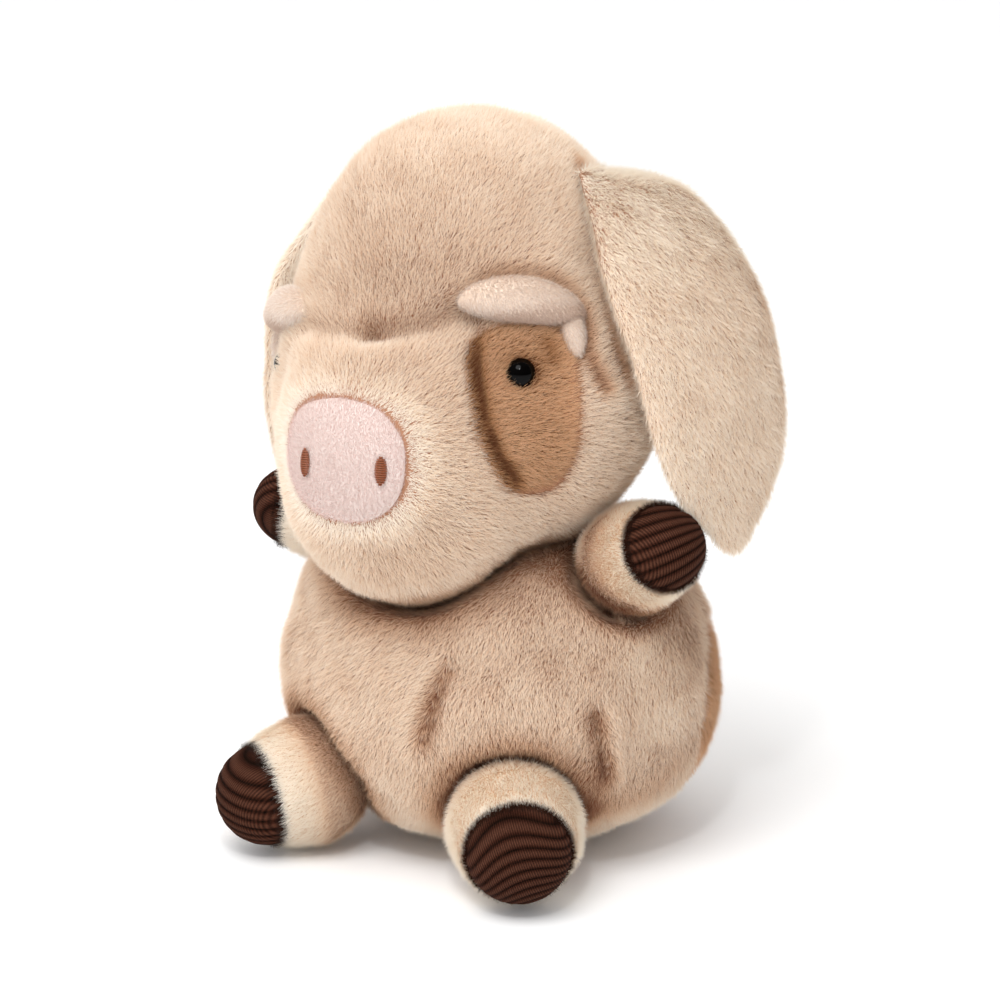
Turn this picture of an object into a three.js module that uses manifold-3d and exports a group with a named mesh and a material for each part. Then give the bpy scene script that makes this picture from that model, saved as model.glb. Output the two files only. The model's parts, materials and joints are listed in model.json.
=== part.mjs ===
// A sitting plush pig: stuffed body, head, floppy ears, arms, legs and tail, each a sewn cover
// round its own filling. Millimetres, +Z up. The pig looks along -Y and its left side is +X.
// The origin is on the floor, under the middle of the body.
import * as THREE from "three";
import { mergeVertices } from "three/addons/utils/BufferGeometryUtils.js";
import Module from "manifold-3d";

const wasm = await Module();
wasm.setup();

const { degToRad } = THREE.MathUtils;

// Cloth and the gaps between sewn pieces
const plushThickness = 5; // backing and pile together
const corduroyThickness = 2.4;
const seamGap = 0.3;
const movingGap = 0.9; // where a faceted piece turns close to another
const nodGap = 1.4; // behind the neck, where the crown reaches into the body as the head tips
const floorCut = 0.5; // how deep the floor flattens what rests on it
const cutOverrun = 12; // how far a cut runs past what it cuts

// Body: wide hips and a narrower chest
const hipHalfWidth = 90;
const hipHalfDepth = 81;
const hipHalfHeight = 56;
const chestHalfWidth = 86;
const chestHalfDepth = 74;
const chestHalfHeight = 52;
const chestRise = 26; // chest centre above hip centre
const hipSquareness = 2.3; // 2 is an ellipsoid, more is boxier from the side
const chestSquareness = 3;
const bodyBlend = 20;

// Pellet bag, a flattened ball low in the body
const pelletBagHalfWidth = 44;
const pelletBagHalfHeight = 15;
const pelletBagHeight = 16;

// Head, measured from the middle of the neck seam and leaning toward the pig's right
const neckHeight = 112;
const neckBack = 14;
const neckOpeningRadius = 26;
const neckOpeningDepth = 24; // from the neck point down through the body's cloth
const headLean = degToRad(-7);
const headTipBack = degToRad(12); // how far the nod goes
const skullHalfWidth = 63;
const skullHalfDepth = 64;
const skullHalfHeight = 60;
const skullForward = 12;
const skullRise = 121;
const cheekHalfWidth = 84;
const cheekHalfDepth = 62;
const cheekHalfHeight = 62;
const cheekForward = 28;
const cheekRise = 66;
const headBlend = 40;
const muzzleHalfWidth = 53;
const muzzleHalfDepth = 46;
const muzzleHalfHeight = 60;
const muzzleForward = 69;
const muzzleRise = 54;

// Nose pad and nostrils
const noseHalfWidth = 29;
const noseHalfHeight = 24;
const noseRise = 7; // above the muzzle's middle
const noseSquareness = 2.4;
const noseTurn = degToRad(-7); // the pad is sewn on a little askew
const nostrilSpacing = 34.5;
const nostrilShift = 3; // the pair is stitched this far to one side of the pad's middle
const nostrilHalfWidth = 2.4;
const nostrilHalfHeight = 6.2;
const nostrilHalfDepth = 2;

// Eyes: heading is measured from straight ahead, pitch from level, at the head's middle
const headMiddleRise = 90;
const headMiddleForward = 22;
const leftEyeHeading = degToRad(51.6);
const rightEyeHeading = degToRad(58);
const eyePitch = degToRad(-2);
const eyeRadius = 6;
const eyePostRadius = 1.9;
const eyePostLength = 14;
const washerRadius = 8;
const washerThickness = 2;
const washerClearance = 2.5; // between the cloth's back and the washer
const eyeSink = 3.6; // the bead's back presses the pile this far down
const patchHalfWidth = 21.5;
const patchTop = 16.5;
const patchBottom = 45.5;

// Eyelids: a bowed roll of short-pile cloth above each eye
const lidHeading = degToRad(56.5);
const leftLidPitch = degToRad(20.3);
const rightLidPitch = degToRad(15.5);
const lidRoll = degToRad(14); // the outer end hangs lower
const lidHalfLength = 25;
const lidHalfHeight = 9;
const lidHalfDepth = 9;
const lidBow = 4; // how far its ends hang below its middle

// Ears
const earLength = 165;
const earRootHalfWidth = 22;
const earHalfWidth = 40.5;
const earTipHalfWidth = 7.5;
const earHalfThickness = 10;
const earClothThickness = 3.6;
const earWaddingGap = 0.7; // wider than a seam's, for the thin tip
const earRootRadius = 6;
const earRootHeading = degToRad(114); // where on the head the root is sewn
const earRootPitch = degToRad(46.5);
const earRootSink = 2.5; // how deep the sewn root presses into the head
const leftEarHeading = degToRad(80); // which way each ear hangs out
const rightEarHeading = degToRad(104);
const leftEarDroop = degToRad(26); // below level at the root
const rightEarDroop = degToRad(41); // this ear hangs closer to the head
const earTipDroop = degToRad(92);
const earBendPower = 2; // more bends it nearer the root
const earFullShare = 0.42; // along the ear to where it is widest
const earTaperShare = 0.36; // and to where its edge starts to round in
const earTaperPower = 2.2; // more keeps it wide nearer the tip
const earFrontShare = 0.62; // along the ear to where its front edge runs straight to the tip
const earEdgePower = 4;
const earSwellPower = 0.7;
const earTipShares = [0.93, 0.975, 0.995];
const earRootCapShares = [0.97, 0.7, 0.35];

// Arms and legs: each is a tapering stub on a ball-shaped root
const armRootRadius = 23;
const armEndRadius = 20;
const armReach = 22; // from the root's centre to the hoof's edge
const armHoofRadius = 16.5;
const armHoofLength = 17;
const leftArmForward = 15; // of the root, ahead of the body's axis
const rightArmForward = 6;
const armRootOut = 74;
const leftArmHeading = degToRad(65);
const rightArmHeading = degToRad(72);
const armSwing = degToRad(25);
const leftArmHeight = 128;
const rightArmHeight = 118;
const leftArmPitch = degToRad(24);
const rightArmPitch = degToRad(6);
const legRootRadius = 28;
const legEndRadius = 25.5;
const legReach = 17;
const legHoofRadius = 20.5;
const legHoofLength = 20;
const legRootDistance = 84; // from the body's axis
const leftLegHeading = degToRad(39);
const rightLegHeading = degToRad(33);
const legLift = degToRad(20);

// How a limb's sleeve meets its hoof
const sleeveEdgeShare = 0.8; // along the sleeve to where it starts to round in
const stubStartShare = 0.12;
const cheekGap = 3.2; // between an arm and the cheek above it
const cheekTurnShares = [0, 0.5, 1]; // of the swing, where the cheek is cut out of the arm
const hoofTuck = 4; // how far the hoof's edge runs up inside the sleeve

// Tail
const tailRootRadius = 8;
const tailEndRadius = 5;
const tailReach = 24;
const tailHeight = 44;
const tailRootOut = 3; // the root's centre stands this far off the body
const tailPitch = degToRad(30);
const tailWag = degToRad(25);

// Tan patch on the rear left flank
const backPatchHalfWidth = 34;
const backPatchHalfHeight = 38;
const backPatchHeading = degToRad(118);
const backPatchHeight = 52;

// How finely each form is faceted
const largeDetail = 4;
const muzzleDetail = 3;
const innerDetail = 3;
const smallDetail = 2;
const limbSides = 12;
const ballSteps = 3;
const domeSteps = 4;
const earSteps = 8;
const earSides = 10;
const outlinePoints = 20;
const halvings = 40; // steps in the search for a form's surface
const reachShare = 3; // how far out that search starts, as a share of the form's half size
const probeShare = 0.002; // the step that a slope is measured over

const up = new THREE.Vector3(0, 0, 1);

// Distance from a point to a lobe along the line through the lobe's centre; negative is inside.
function lobeDistance(point, lobe) {
  const q = point.clone().sub(lobe.centre);
  const flat = Math.hypot(q.x / lobe.half.x, q.y / lobe.half.y);
  const tall = Math.abs(q.z / lobe.half.z);
  const share = (flat ** lobe.squareness + tall ** lobe.squareness) ** (1 / lobe.squareness);
  return share > 0 ? q.length() * (1 - 1 / share) : -lobe.half.z;
}

// Lobes joined as stuffed cloth joins them, with a soft fillet of the blend's size.
function formDistance(point, form) {
  return form.lobes
    .map((lobe) => lobeDistance(point, lobe))
    .reduce((a, b) => {
      const h = Math.min(Math.max(0.5 + (b - a) / (2 * form.blend), 0), 1);
      return a * h + b * (1 - h) - form.blend * h * (1 - h);
    });
}

// Where a ray leaves a form, with the form grown or shrunk by an amount. It starts at the middle.
function surfacePoint(form, direction, grow = 0, start = form.middle) {
  let near = 0;
  let far = form.reach;
  for (let i = 0; i < halvings; i++) {
    const half = (near + far) / 2;
    const point = start.clone().addScaledVector(direction, half);
    if (formDistance(point, form) < grow) near = half;
    else far = half;
  }
  return start.clone().addScaledVector(direction, (near + far) / 2);
}

function surfaceNormal(form, point) {
  const step = form.reach * probeShare;
  const slope = ["x", "y", "z"].map((axis) => {
    const ahead = point.clone();
    ahead[axis] += step;
    const behind = point.clone();
    behind[axis] -= step;
    return formDistance(ahead, form) - formDistance(behind, form);
  });
  return new THREE.Vector3(...slope).normalize();
}

function swollenGeometry(form, detail, grow = 0) {
  const geometry = new THREE.IcosahedronGeometry(1, detail);
  const position = geometry.getAttribute("position");
  const direction = new THREE.Vector3();
  for (let i = 0; i < position.count; i++) {
    direction.fromBufferAttribute(position, i).normalize();
    position.setXYZ(i, ...surfacePoint(form, direction, grow));
  }
  return geometry;
}

// A solid of revolution about +Z from [radius, height] points that start and end on the axis.
function turnedGeometry(points, sides) {
  const profile = points.map(([radius, height]) => new THREE.Vector2(radius, height));
  return new THREE.LatheGeometry(profile, sides).rotateX(Math.PI / 2);
}

// The signed volume tells whether the faces point outward.
function signedVolume(geometry) {
  const p = geometry.getAttribute("position");
  const index = geometry.index.array;
  const [a, b, c] = [new THREE.Vector3(), new THREE.Vector3(), new THREE.Vector3()];
  let sum = 0;
  for (let i = 0; i < index.length; i += 3) {
    a.fromBufferAttribute(p, index[i]);
    b.fromBufferAttribute(p, index[i + 1]);
    c.fromBufferAttribute(p, index[i + 2]);
    sum += a.dot(b.cross(c));
  }
  return sum / 6;
}

// A closed geometry as a solid for cutting, moved by a frame first where one is given.
function solidOf(geometry, frame) {
  const bare = geometry.clone();
  bare.deleteAttribute("normal");
  bare.deleteAttribute("uv");
  if (frame) bare.applyMatrix4(frame);
  const merged = mergeVertices(bare, 1e-3);
  const triangles = [];
  const index = merged.index.array;
  const flip = signedVolume(merged) < 0;
  for (let i = 0; i < index.length; i += 3) {
    const [a, b, c] = [index[i], index[i + 1], index[i + 2]];
    if (a !== b && b !== c && c !== a) triangles.push(a, ...(flip ? [c, b] : [b, c]));
  }
  const mesh = new wasm.Mesh({
    numProp: 3,
    vertProperties: new Float32Array(merged.getAttribute("position").array),
    triVerts: new Uint32Array(triangles),
  });
  return new wasm.Manifold(mesh);
}

function geometryOf(solid) {
  const mesh = solid.getMesh();
  const geometry = new THREE.BufferGeometry();
  geometry.setAttribute("position", new THREE.BufferAttribute(mesh.vertProperties, 3));
  geometry.setIndex(new THREE.BufferAttribute(mesh.triVerts, 1));
  return geometry;
}

// A frame at a point with its +Z along an axis, and its +Y as near the world's up as it can be.
function frameAlong(point, axis) {
  const z = axis.clone().normalize();
  const x = new THREE.Vector3().crossVectors(up, z).normalize();
  const y = new THREE.Vector3().crossVectors(z, x);
  return new THREE.Matrix4().makeBasis(x, y, z).setPosition(point);
}

// A unit vector, by its heading from straight ahead toward one side and its pitch above level.
function aim(side, heading, pitch) {
  return new THREE.Vector3(
    side * Math.sin(heading) * Math.cos(pitch),
    -Math.cos(heading) * Math.cos(pitch),
    Math.sin(pitch),
  );
}

function ballAt(point, radius, detail = smallDetail) {
  const ball = new THREE.IcosahedronGeometry(radius, detail);
  return solidOf(ball.translate(...point));
}

// The half space under the floor, as a block.
function floorBlock() {
  const size = 2 * bodyForm.reach;
  return solidOf(new THREE.BoxGeometry(size, size, size).translate(0, 0, -size / 2));
}

// A prism along a frame's axis, from an outline of [across, up] points.
function prismAlong(outline, frame, inward, outward) {
  const shape = new THREE.Shape(outline.map(([x, y]) => new THREE.Vector2(x, y)));
  const depth = inward + outward;
  const prism = new THREE.ExtrudeGeometry(shape, { depth, bevelEnabled: false, steps: 1 });
  return solidOf(prism.translate(0, 0, -inward), frame);
}

// A rounded outline: the half sizes may differ above and below its middle.
function roundOutline(halfWidth, top, bottom, squareness, points, grow = 0) {
  return Array.from({ length: points }, (_, i) => {
    const angle = (2 * Math.PI * i) / points;
    const [c, s] = [Math.cos(angle), Math.sin(angle)];
    const halfHeight = s > 0 ? top : bottom;
    return [
      Math.sign(c) * Math.abs(c) ** (2 / squareness) * (halfWidth + grow),
      Math.sign(s) * Math.abs(s) ** (2 / squareness) * (halfHeight + grow),
    ];
  });
}

// Body and head forms

function lobe(centre, half, squareness = 2) {
  return { centre: new THREE.Vector3(...centre), half: new THREE.Vector3(...half), squareness };
}

function formOf(lobes, blend, middle) {
  const reach = reachShare * Math.max(...lobes.map((one) => Math.max(...one.half)));
  return { lobes, blend, middle: new THREE.Vector3(...middle), reach };
}

const hipHeight = hipHalfHeight - floorCut;
const bodyForm = formOf(
  [
    lobe([0, 0, hipHeight], [hipHalfWidth, hipHalfDepth, hipHalfHeight], hipSquareness),
    lobe(
      [0, 0, hipHeight + chestRise],
      [chestHalfWidth, chestHalfDepth, chestHalfHeight],
      chestSquareness,
    ),
  ],
  bodyBlend,
  [0, 0, hipHeight],
);

const headMiddle = [0, -headMiddleForward, headMiddleRise];
const crownForm = formOf(
  [
    lobe([0, -skullForward, skullRise], [skullHalfWidth, skullHalfDepth, skullHalfHeight]),
    lobe([0, -cheekForward, cheekRise], [cheekHalfWidth, cheekHalfDepth, cheekHalfHeight]),
  ],
  headBlend,
  headMiddle,
);
const muzzleCentre = [0, -muzzleForward, muzzleRise];
const muzzleForm = formOf(
  [lobe(muzzleCentre, [muzzleHalfWidth, muzzleHalfDepth, muzzleHalfHeight])],
  seamGap,
  muzzleCentre,
);

// The head's frame at the neck, leaning, and tipped back by an angle where one is given.
const neckPoint = new THREE.Vector3(0, neckBack, neckHeight);
function headFrame(tipBack = 0) {
  return new THREE.Matrix4()
    .makeTranslation(...neckPoint)
    .multiply(new THREE.Matrix4().makeRotationY(headLean))
    .multiply(new THREE.Matrix4().makeRotationX(-tipBack));
}

// The space that the head takes up, at rest and tipped right back, grown by an amount. Behind the
// neck only the crown reaches into the body as the head tips.
function headSweep(grow, detail) {
  const crown = swollenGeometry(crownForm, detail, grow);
  const tipped = swollenGeometry(crownForm, innerDetail, grow + nodGap);
  const muzzle = swollenGeometry(muzzleForm, muzzleDetail, grow);
  return solidOf(crown, headFrame())
    .add(solidOf(muzzle, headFrame()))
    .add(solidOf(tipped, headFrame(headTipBack)));
}

const bothSides = [
  { side: 1, name: "left" },
  { side: -1, name: "right" },
];

// Arms, legs and tail

function ballProfile(radius) {
  return Array.from({ length: ballSteps }, (_, i) => {
    const angle = (Math.PI / 2) * (i / ballSteps);
    return [radius * Math.sin(angle), -radius * Math.cos(angle)];
  });
}

function domeProfile(radius, height, base) {
  const points = Array.from({ length: domeSteps }, (_, i) => {
    const angle = (Math.PI / 2) * (i / domeSteps);
    return [radius * Math.cos(angle), base + height * Math.sin(angle)];
  });
  return [...points, [0, base + height]];
}

// The outside of a sleeve about the limb's own axis: a ball-shaped root, then a stub that rounds in.
function sleeveProfile(limb) {
  return [
    ...ballProfile(limb.rootRadius),
    [limb.rootRadius, 0],
    [limb.endRadius, limb.reach * sleeveEdgeShare],
    [limb.hoofRadius + seamGap, limb.reach],
    [0, limb.reach],
  ];
}

// The space inside a sleeve, out through its mouth.
function sleeveSpaceProfile(limb) {
  const inner = limb.rootRadius - limb.cloth;
  const mouth = limb.hoofRadius + seamGap;
  return [
    ...ballProfile(inner),
    [inner, 0],
    [mouth, limb.reach - hoofTuck],
    [mouth, limb.reach + cutOverrun],
    [0, limb.reach + cutOverrun],
  ];
}

// The space that the hoof takes up in the sleeve's mouth.
function mouthProfile(limb) {
  const mouth = limb.hoofRadius + seamGap;
  const bottom = limb.reach - hoofTuck - seamGap;
  return [
    [0, bottom],
    [mouth, bottom],
    [mouth, limb.reach + cutOverrun],
    [0, limb.reach + cutOverrun],
  ];
}

function hoofProfile(limb) {
  const inner = limb.hoofRadius - corduroyThickness;
  return [
    ...domeProfile(inner, limb.hoofLength - corduroyThickness, limb.reach).reverse(),
    [inner, limb.reach - hoofTuck],
    [limb.hoofRadius, limb.reach - hoofTuck],
    ...domeProfile(limb.hoofRadius, limb.hoofLength, limb.reach),
  ];
}

function fillingProfile(limb) {
  const inset = limb.cloth + seamGap;
  const hoofInset = corduroyThickness + seamGap;
  const end = limb.hoofRadius - hoofInset;
  return [
    ...ballProfile(limb.rootRadius - inset),
    [limb.rootRadius - inset, 0],
    [end, limb.reach - hoofTuck - seamGap],
    ...domeProfile(end, limb.hoofLength - hoofInset, limb.reach),
  ];
}

// The stub beyond the ball-shaped root, grown by an amount.
function stubProfile(limb, grow) {
  return [
    [0, 0],
    [limb.rootRadius + grow, limb.reach * stubStartShare],
    [limb.endRadius + grow, limb.reach * sleeveEdgeShare],
    ...domeProfile(limb.hoofRadius + grow, limb.hoofLength + grow, limb.reach),
  ];
}

// A limb turned about its hinge by an angle, from its place at rest.
function limbFrame(limb, angle = 0) {
  const turn = new THREE.Matrix4().makeRotationAxis(limb.hinge, angle);
  const rest = frameAlong(new THREE.Vector3(), limb.axis);
  return new THREE.Matrix4().makeTranslation(...limb.root).multiply(turn).multiply(rest);
}

// What the body leaves free for a limb: a dimple for its root, and room for the stub at each end of
// its swing.
function limbSweep(limb, grow) {
  const room = grow + movingGap - seamGap;
  const stub = turnedGeometry(stubProfile(limb, room), limbSides);
  const dimple = ballAt(limb.root, limb.rootRadius + room);
  return limb.swing
    .map((angle) => solidOf(stub, limbFrame(limb, angle)))
    .reduce((a, b) => a.add(b), dimple);
}

const armHeights = { left: leftArmHeight, right: rightArmHeight };
const armPitches = { left: leftArmPitch, right: rightArmPitch };
const armForwards = { left: leftArmForward, right: rightArmForward };
const armHeadings = { left: leftArmHeading, right: rightArmHeading };
const arms = bothSides.map(({ side, name }) => ({
  name: `arm_${name}`,
  root: new THREE.Vector3(side * armRootOut, -armForwards[name], armHeights[name]),
  axis: aim(side, armHeadings[name], armPitches[name]),
  hinge: new THREE.Vector3(0, 0, -side),
  swing: [0, armSwing],
  rootRadius: armRootRadius,
  endRadius: armEndRadius,
  reach: armReach,
  hoofRadius: armHoofRadius,
  hoofLength: armHoofLength,
  cloth: plushThickness,
  underCheek: true,
}));

const legSlope = Math.atan2(legRootRadius - legEndRadius, legReach * sleeveEdgeShare);
const legHeadings = { left: leftLegHeading, right: rightLegHeading };
const legs = bothSides.map(({ side, name }) => ({
  name: `leg_${name}`,
  root: aim(side, legHeadings[name], 0)
    .multiplyScalar(legRootDistance)
    .addScaledVector(up, legRootRadius - floorCut),
  axis: aim(side, legHeadings[name], -legSlope),
  hinge: new THREE.Vector3().crossVectors(aim(side, legHeadings[name], 0), up),
  swing: [0, legLift],
  rootRadius: legRootRadius,
  endRadius: legEndRadius,
  reach: legReach,
  hoofRadius: legHoofRadius,
  hoofLength: legHoofLength,
  cloth: plushThickness,
}));

const tailBase = surfacePoint(
  bodyForm,
  new THREE.Vector3(0, 1, 0),
  tailRootOut,
  new THREE.Vector3(0, 0, tailHeight),
);
const tail = {
  name: "tail",
  root: tailBase,
  axis: aim(1, Math.PI, tailPitch),
  hinge: up.clone(),
  swing: [-tailWag, tailWag],
  rootRadius: tailRootRadius,
  endRadius: (tailRootRadius + tailEndRadius) / 2,
  reach: tailReach,
  hoofRadius: tailEndRadius,
  hoofLength: tailEndRadius,
};

function tailProfile() {
  return [
    ...ballProfile(tail.rootRadius),
    [tail.rootRadius, 0],
    ...domeProfile(tail.hoofRadius, tail.hoofLength, tail.reach),
  ];
}

// A solid less the cheek that presses on a limb, grown by an amount, wherever the limb swings.
function clearOfCheek(solid, limb, grow) {
  const cheek = solidOf(swollenGeometry(crownForm, largeDetail, grow), headFrame());
  const [x, y, z] = limb.root;
  return cheekTurnShares.reduce((left, share) => {
    const turn = new THREE.Matrix4()
      .makeTranslation(x, y, z)
      .multiply(new THREE.Matrix4().makeRotationAxis(limb.hinge, -share * limb.swing[1]))
      .multiply(new THREE.Matrix4().makeTranslation(-x, -y, -z));
    return left.subtract(cheek.transform(turn.elements));
  }, solid);
}

// A sleeve, a hoof and a filling, flattened where the floor or a cheek presses on them.
function limbPieces(limb) {
  const frame = limbFrame(limb);
  const turned = (profile, inset) => {
    const solid = solidOf(turnedGeometry(profile, limbSides), frame);
    return limb.underCheek ? clearOfCheek(solid, limb, cheekGap + inset) : solid;
  };
  const outside = turned(sleeveProfile(limb), 0).subtract(floorBlock());
  const mouth = solidOf(turnedGeometry(mouthProfile(limb), limbSides), frame);
  const shell = outside.subtract(turned(sleeveSpaceProfile(limb), limb.cloth)).subtract(mouth);
  const hoof = turned(hoofProfile(limb), 0).subtract(floorBlock());
  const filling = turned(fillingProfile(limb), limb.cloth + seamGap);
  return {
    [`${limb.name}_shell`]: [largestPiece(shell), furMaterial],
    [`${limb.name}_hoof`]: [hoof, corduroyMaterial],
    [`${limb.name}_filling`]: [filling, fibreMaterial],
  };
}

// Materials

const furMaterial = () => clothMaterial(0xe2c2a6, 0.95);
const tanMaterial = () => clothMaterial(0xb88d6a, 0.95);
const noseMaterial = () => clothMaterial(0xe8d2cb, 0.9);
const lidMaterial = () => clothMaterial(0xf0e0d2, 0.9);
const corduroyMaterial = () => clothMaterial(0x46261c, 0.85);
const threadMaterial = () => clothMaterial(0x8a4e2c, 0.5);
const fibreMaterial = () => clothMaterial(0xf4f2ee, 1);
const pelletMaterial = () => clothMaterial(0xd9d9d2, 0.8);
const eyeMaterial = () => clothMaterial(0x080606, 0.08);
const washerMaterial = () => clothMaterial(0xe8e8e4, 0.5);

function clothMaterial(color, roughness) {
  return new THREE.MeshStandardMaterial({ color, roughness, metalness: 0 });
}

// Head

function crownSolid(inset, detail = largeDetail) {
  return solidOf(swollenGeometry(crownForm, detail, -inset));
}

// The space that an arm takes up, grown by an amount, in the head's frame.
function armSpace(limb, grow) {
  return limbSweep(limb, grow).transform(headFrame().invert().elements);
}

function muzzleSolid(inset, detail = muzzleDetail) {
  return solidOf(swollenGeometry(muzzleForm, detail, -inset));
}

// The largest body that a cut leaves, without any sliver beside it.
function largestPiece(solid) {
  return solid.decompose().reduce((a, b) => (b.volume() > a.volume() ? b : a));
}

const noseFrame = frameAlong(
  surfacePoint(muzzleForm, new THREE.Vector3(0, -1, 0)),
  new THREE.Vector3(0, -1, 0),
)
  .multiply(new THREE.Matrix4().makeTranslation(0, noseRise, 0))
  .multiply(new THREE.Matrix4().makeRotationZ(noseTurn));

function nosePrism(grow) {
  const outline = roundOutline(
    noseHalfWidth,
    noseHalfHeight,
    noseHalfHeight,
    noseSquareness,
    outlinePoints,
    grow,
  );
  return prismAlong(outline, noseFrame, muzzleHalfDepth, cutOverrun);
}

// A satin-stitched oval on the nose pad's surface.
function nostril(side) {
  const start = new THREE.Vector3((side * nostrilSpacing) / 2 + nostrilShift, 0, -muzzleHalfDepth);
  start.applyMatrix4(noseFrame);
  const seat = surfacePoint(muzzleForm, new THREE.Vector3(0, -1, 0), seamGap, start);
  const frame = frameAlong(seat, surfaceNormal(muzzleForm, seat));
  const oval = new THREE.IcosahedronGeometry(1, smallDetail);
  oval.scale(nostrilHalfWidth, nostrilHalfHeight, nostrilHalfDepth);
  return solidOf(oval, frame).subtract(muzzleSolid(-seamGap));
}

// The frame of an eye: its +Z stands off the face, and zero is the cloth's outside.
function eyeFrame(side) {
  const seat = surfacePoint(crownForm, aim(side, side > 0 ? leftEyeHeading : rightEyeHeading, eyePitch));
  return frameAlong(seat, surfaceNormal(crownForm, seat));
}

const washerDepth = plushThickness + washerClearance;

function diskSolid(radius, bottom, top, frame) {
  const profile = [
    [0, bottom],
    [radius, bottom],
    [radius, top],
    [0, top],
  ];
  return solidOf(turnedGeometry(profile, limbSides), frame);
}

function eyeBead(frame) {
  const profile = [
    [0, -eyeSink - eyePostLength],
    [eyePostRadius, -eyeSink - eyePostLength],
    [eyePostRadius, -eyeSink],
    ...domeProfile(eyeRadius, eyeRadius, -eyeSink),
  ];
  return solidOf(turnedGeometry(profile, limbSides), frame);
}

function eyeWasher(frame) {
  const hole = eyePostRadius + seamGap;
  const bottom = -washerDepth - washerThickness;
  const ring = diskSolid(washerRadius, bottom, -washerDepth, frame);
  return ring.subtract(diskSolid(hole, bottom - cutOverrun, cutOverrun, frame));
}

// What an eye takes out of the cloth, and out of the filling behind it.
function eyeClothCut(frame) {
  const recess = diskSolid(eyeRadius + seamGap, -eyeSink - seamGap, cutOverrun, frame);
  return recess.add(diskSolid(eyePostRadius + seamGap, -cutOverrun, 0, frame));
}

function eyeFillingCut(frame) {
  const postEnd = -eyeSink - eyePostLength - seamGap;
  const washerEnd = -washerDepth - washerThickness - seamGap;
  const washerSpace = diskSolid(washerRadius + seamGap, washerEnd, 0, frame);
  return washerSpace.add(diskSolid(eyePostRadius + seamGap, postEnd, 0, frame));
}

function patchPrism(grow) {
  const outline = roundOutline(
    patchHalfWidth,
    patchTop,
    patchBottom,
    2,
    outlinePoints,
    grow,
  );
  return prismAlong(outline, eyeFrame(1), cutOverrun, cutOverrun);
}

// A closed skin over rings of points, with a single point at each end.
function ringedGeometry(start, rings, end) {
  const sides = rings[0].length;
  const points = [start, ...rings.flat(), end];
  const index = [];
  const at = (ring, side) => 1 + ring * sides + (side % sides);
  for (let k = 0; k < sides; k++) {
    index.push(0, at(0, k + 1), at(0, k));
    for (let i = 0; i + 1 < rings.length; i++) {
      index.push(at(i, k), at(i, k + 1), at(i + 1, k));
      index.push(at(i + 1, k), at(i, k + 1), at(i + 1, k + 1));
    }
    index.push(at(rings.length - 1, k), at(rings.length - 1, k + 1), points.length - 1);
  }
  return new THREE.BufferGeometry().setFromPoints(points).setIndex(index);
}

// The eyelid: a bowed roll that is fattest in its middle, half sunk in the face.
function eyelid(side) {
  const seat = surfacePoint(crownForm, aim(side, lidHeading, side > 0 ? leftLidPitch : rightLidPitch));
  const frame = frameAlong(seat, surfaceNormal(crownForm, seat));
  frame.multiply(new THREE.Matrix4().makeRotationZ(-side * lidRoll));
  const ringAt = (t) => {
    const swell = Math.sqrt(1 - t * t);
    const centre = new THREE.Vector3(t * lidHalfLength, -lidBow * t * t, -lidBow * t * t);
    return Array.from({ length: earSides }, (_, k) => {
      const angle = (2 * Math.PI * k) / earSides;
      const rise = lidHalfHeight * swell * Math.cos(angle);
      return centre.clone().add(new THREE.Vector3(0, rise, lidHalfDepth * swell * Math.sin(angle)));
    });
  };
  const places = Array.from({ length: earSides }, (_, i) => Math.cos((Math.PI * (i + 0.5)) / earSides));
  const tip = (t) => new THREE.Vector3(t * lidHalfLength, -lidBow, -lidBow);
  const roll = solidOf(ringedGeometry(tip(1), places.map(ringAt), tip(-1)), frame);
  return largestPiece(roll.subtract(crownSolid(-seamGap)).subtract(muzzleSolid(-seamGap)));
}

// Ears

// How wide and how thick the ear is along its length, as shares of its largest.
function earWidthShare(t) {
  const opened = Math.min(t / earFullShare, 1);
  const rootShare = earRootHalfWidth / earHalfWidth;
  const grown = rootShare + (1 - rootShare) * Math.sin((Math.PI / 2) * opened);
  const closed = Math.max(t - earTaperShare, 0) / (1 - earTaperShare);
  return grown * Math.sqrt(Math.max(1 - closed ** earTaperPower, 0));
}

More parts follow.
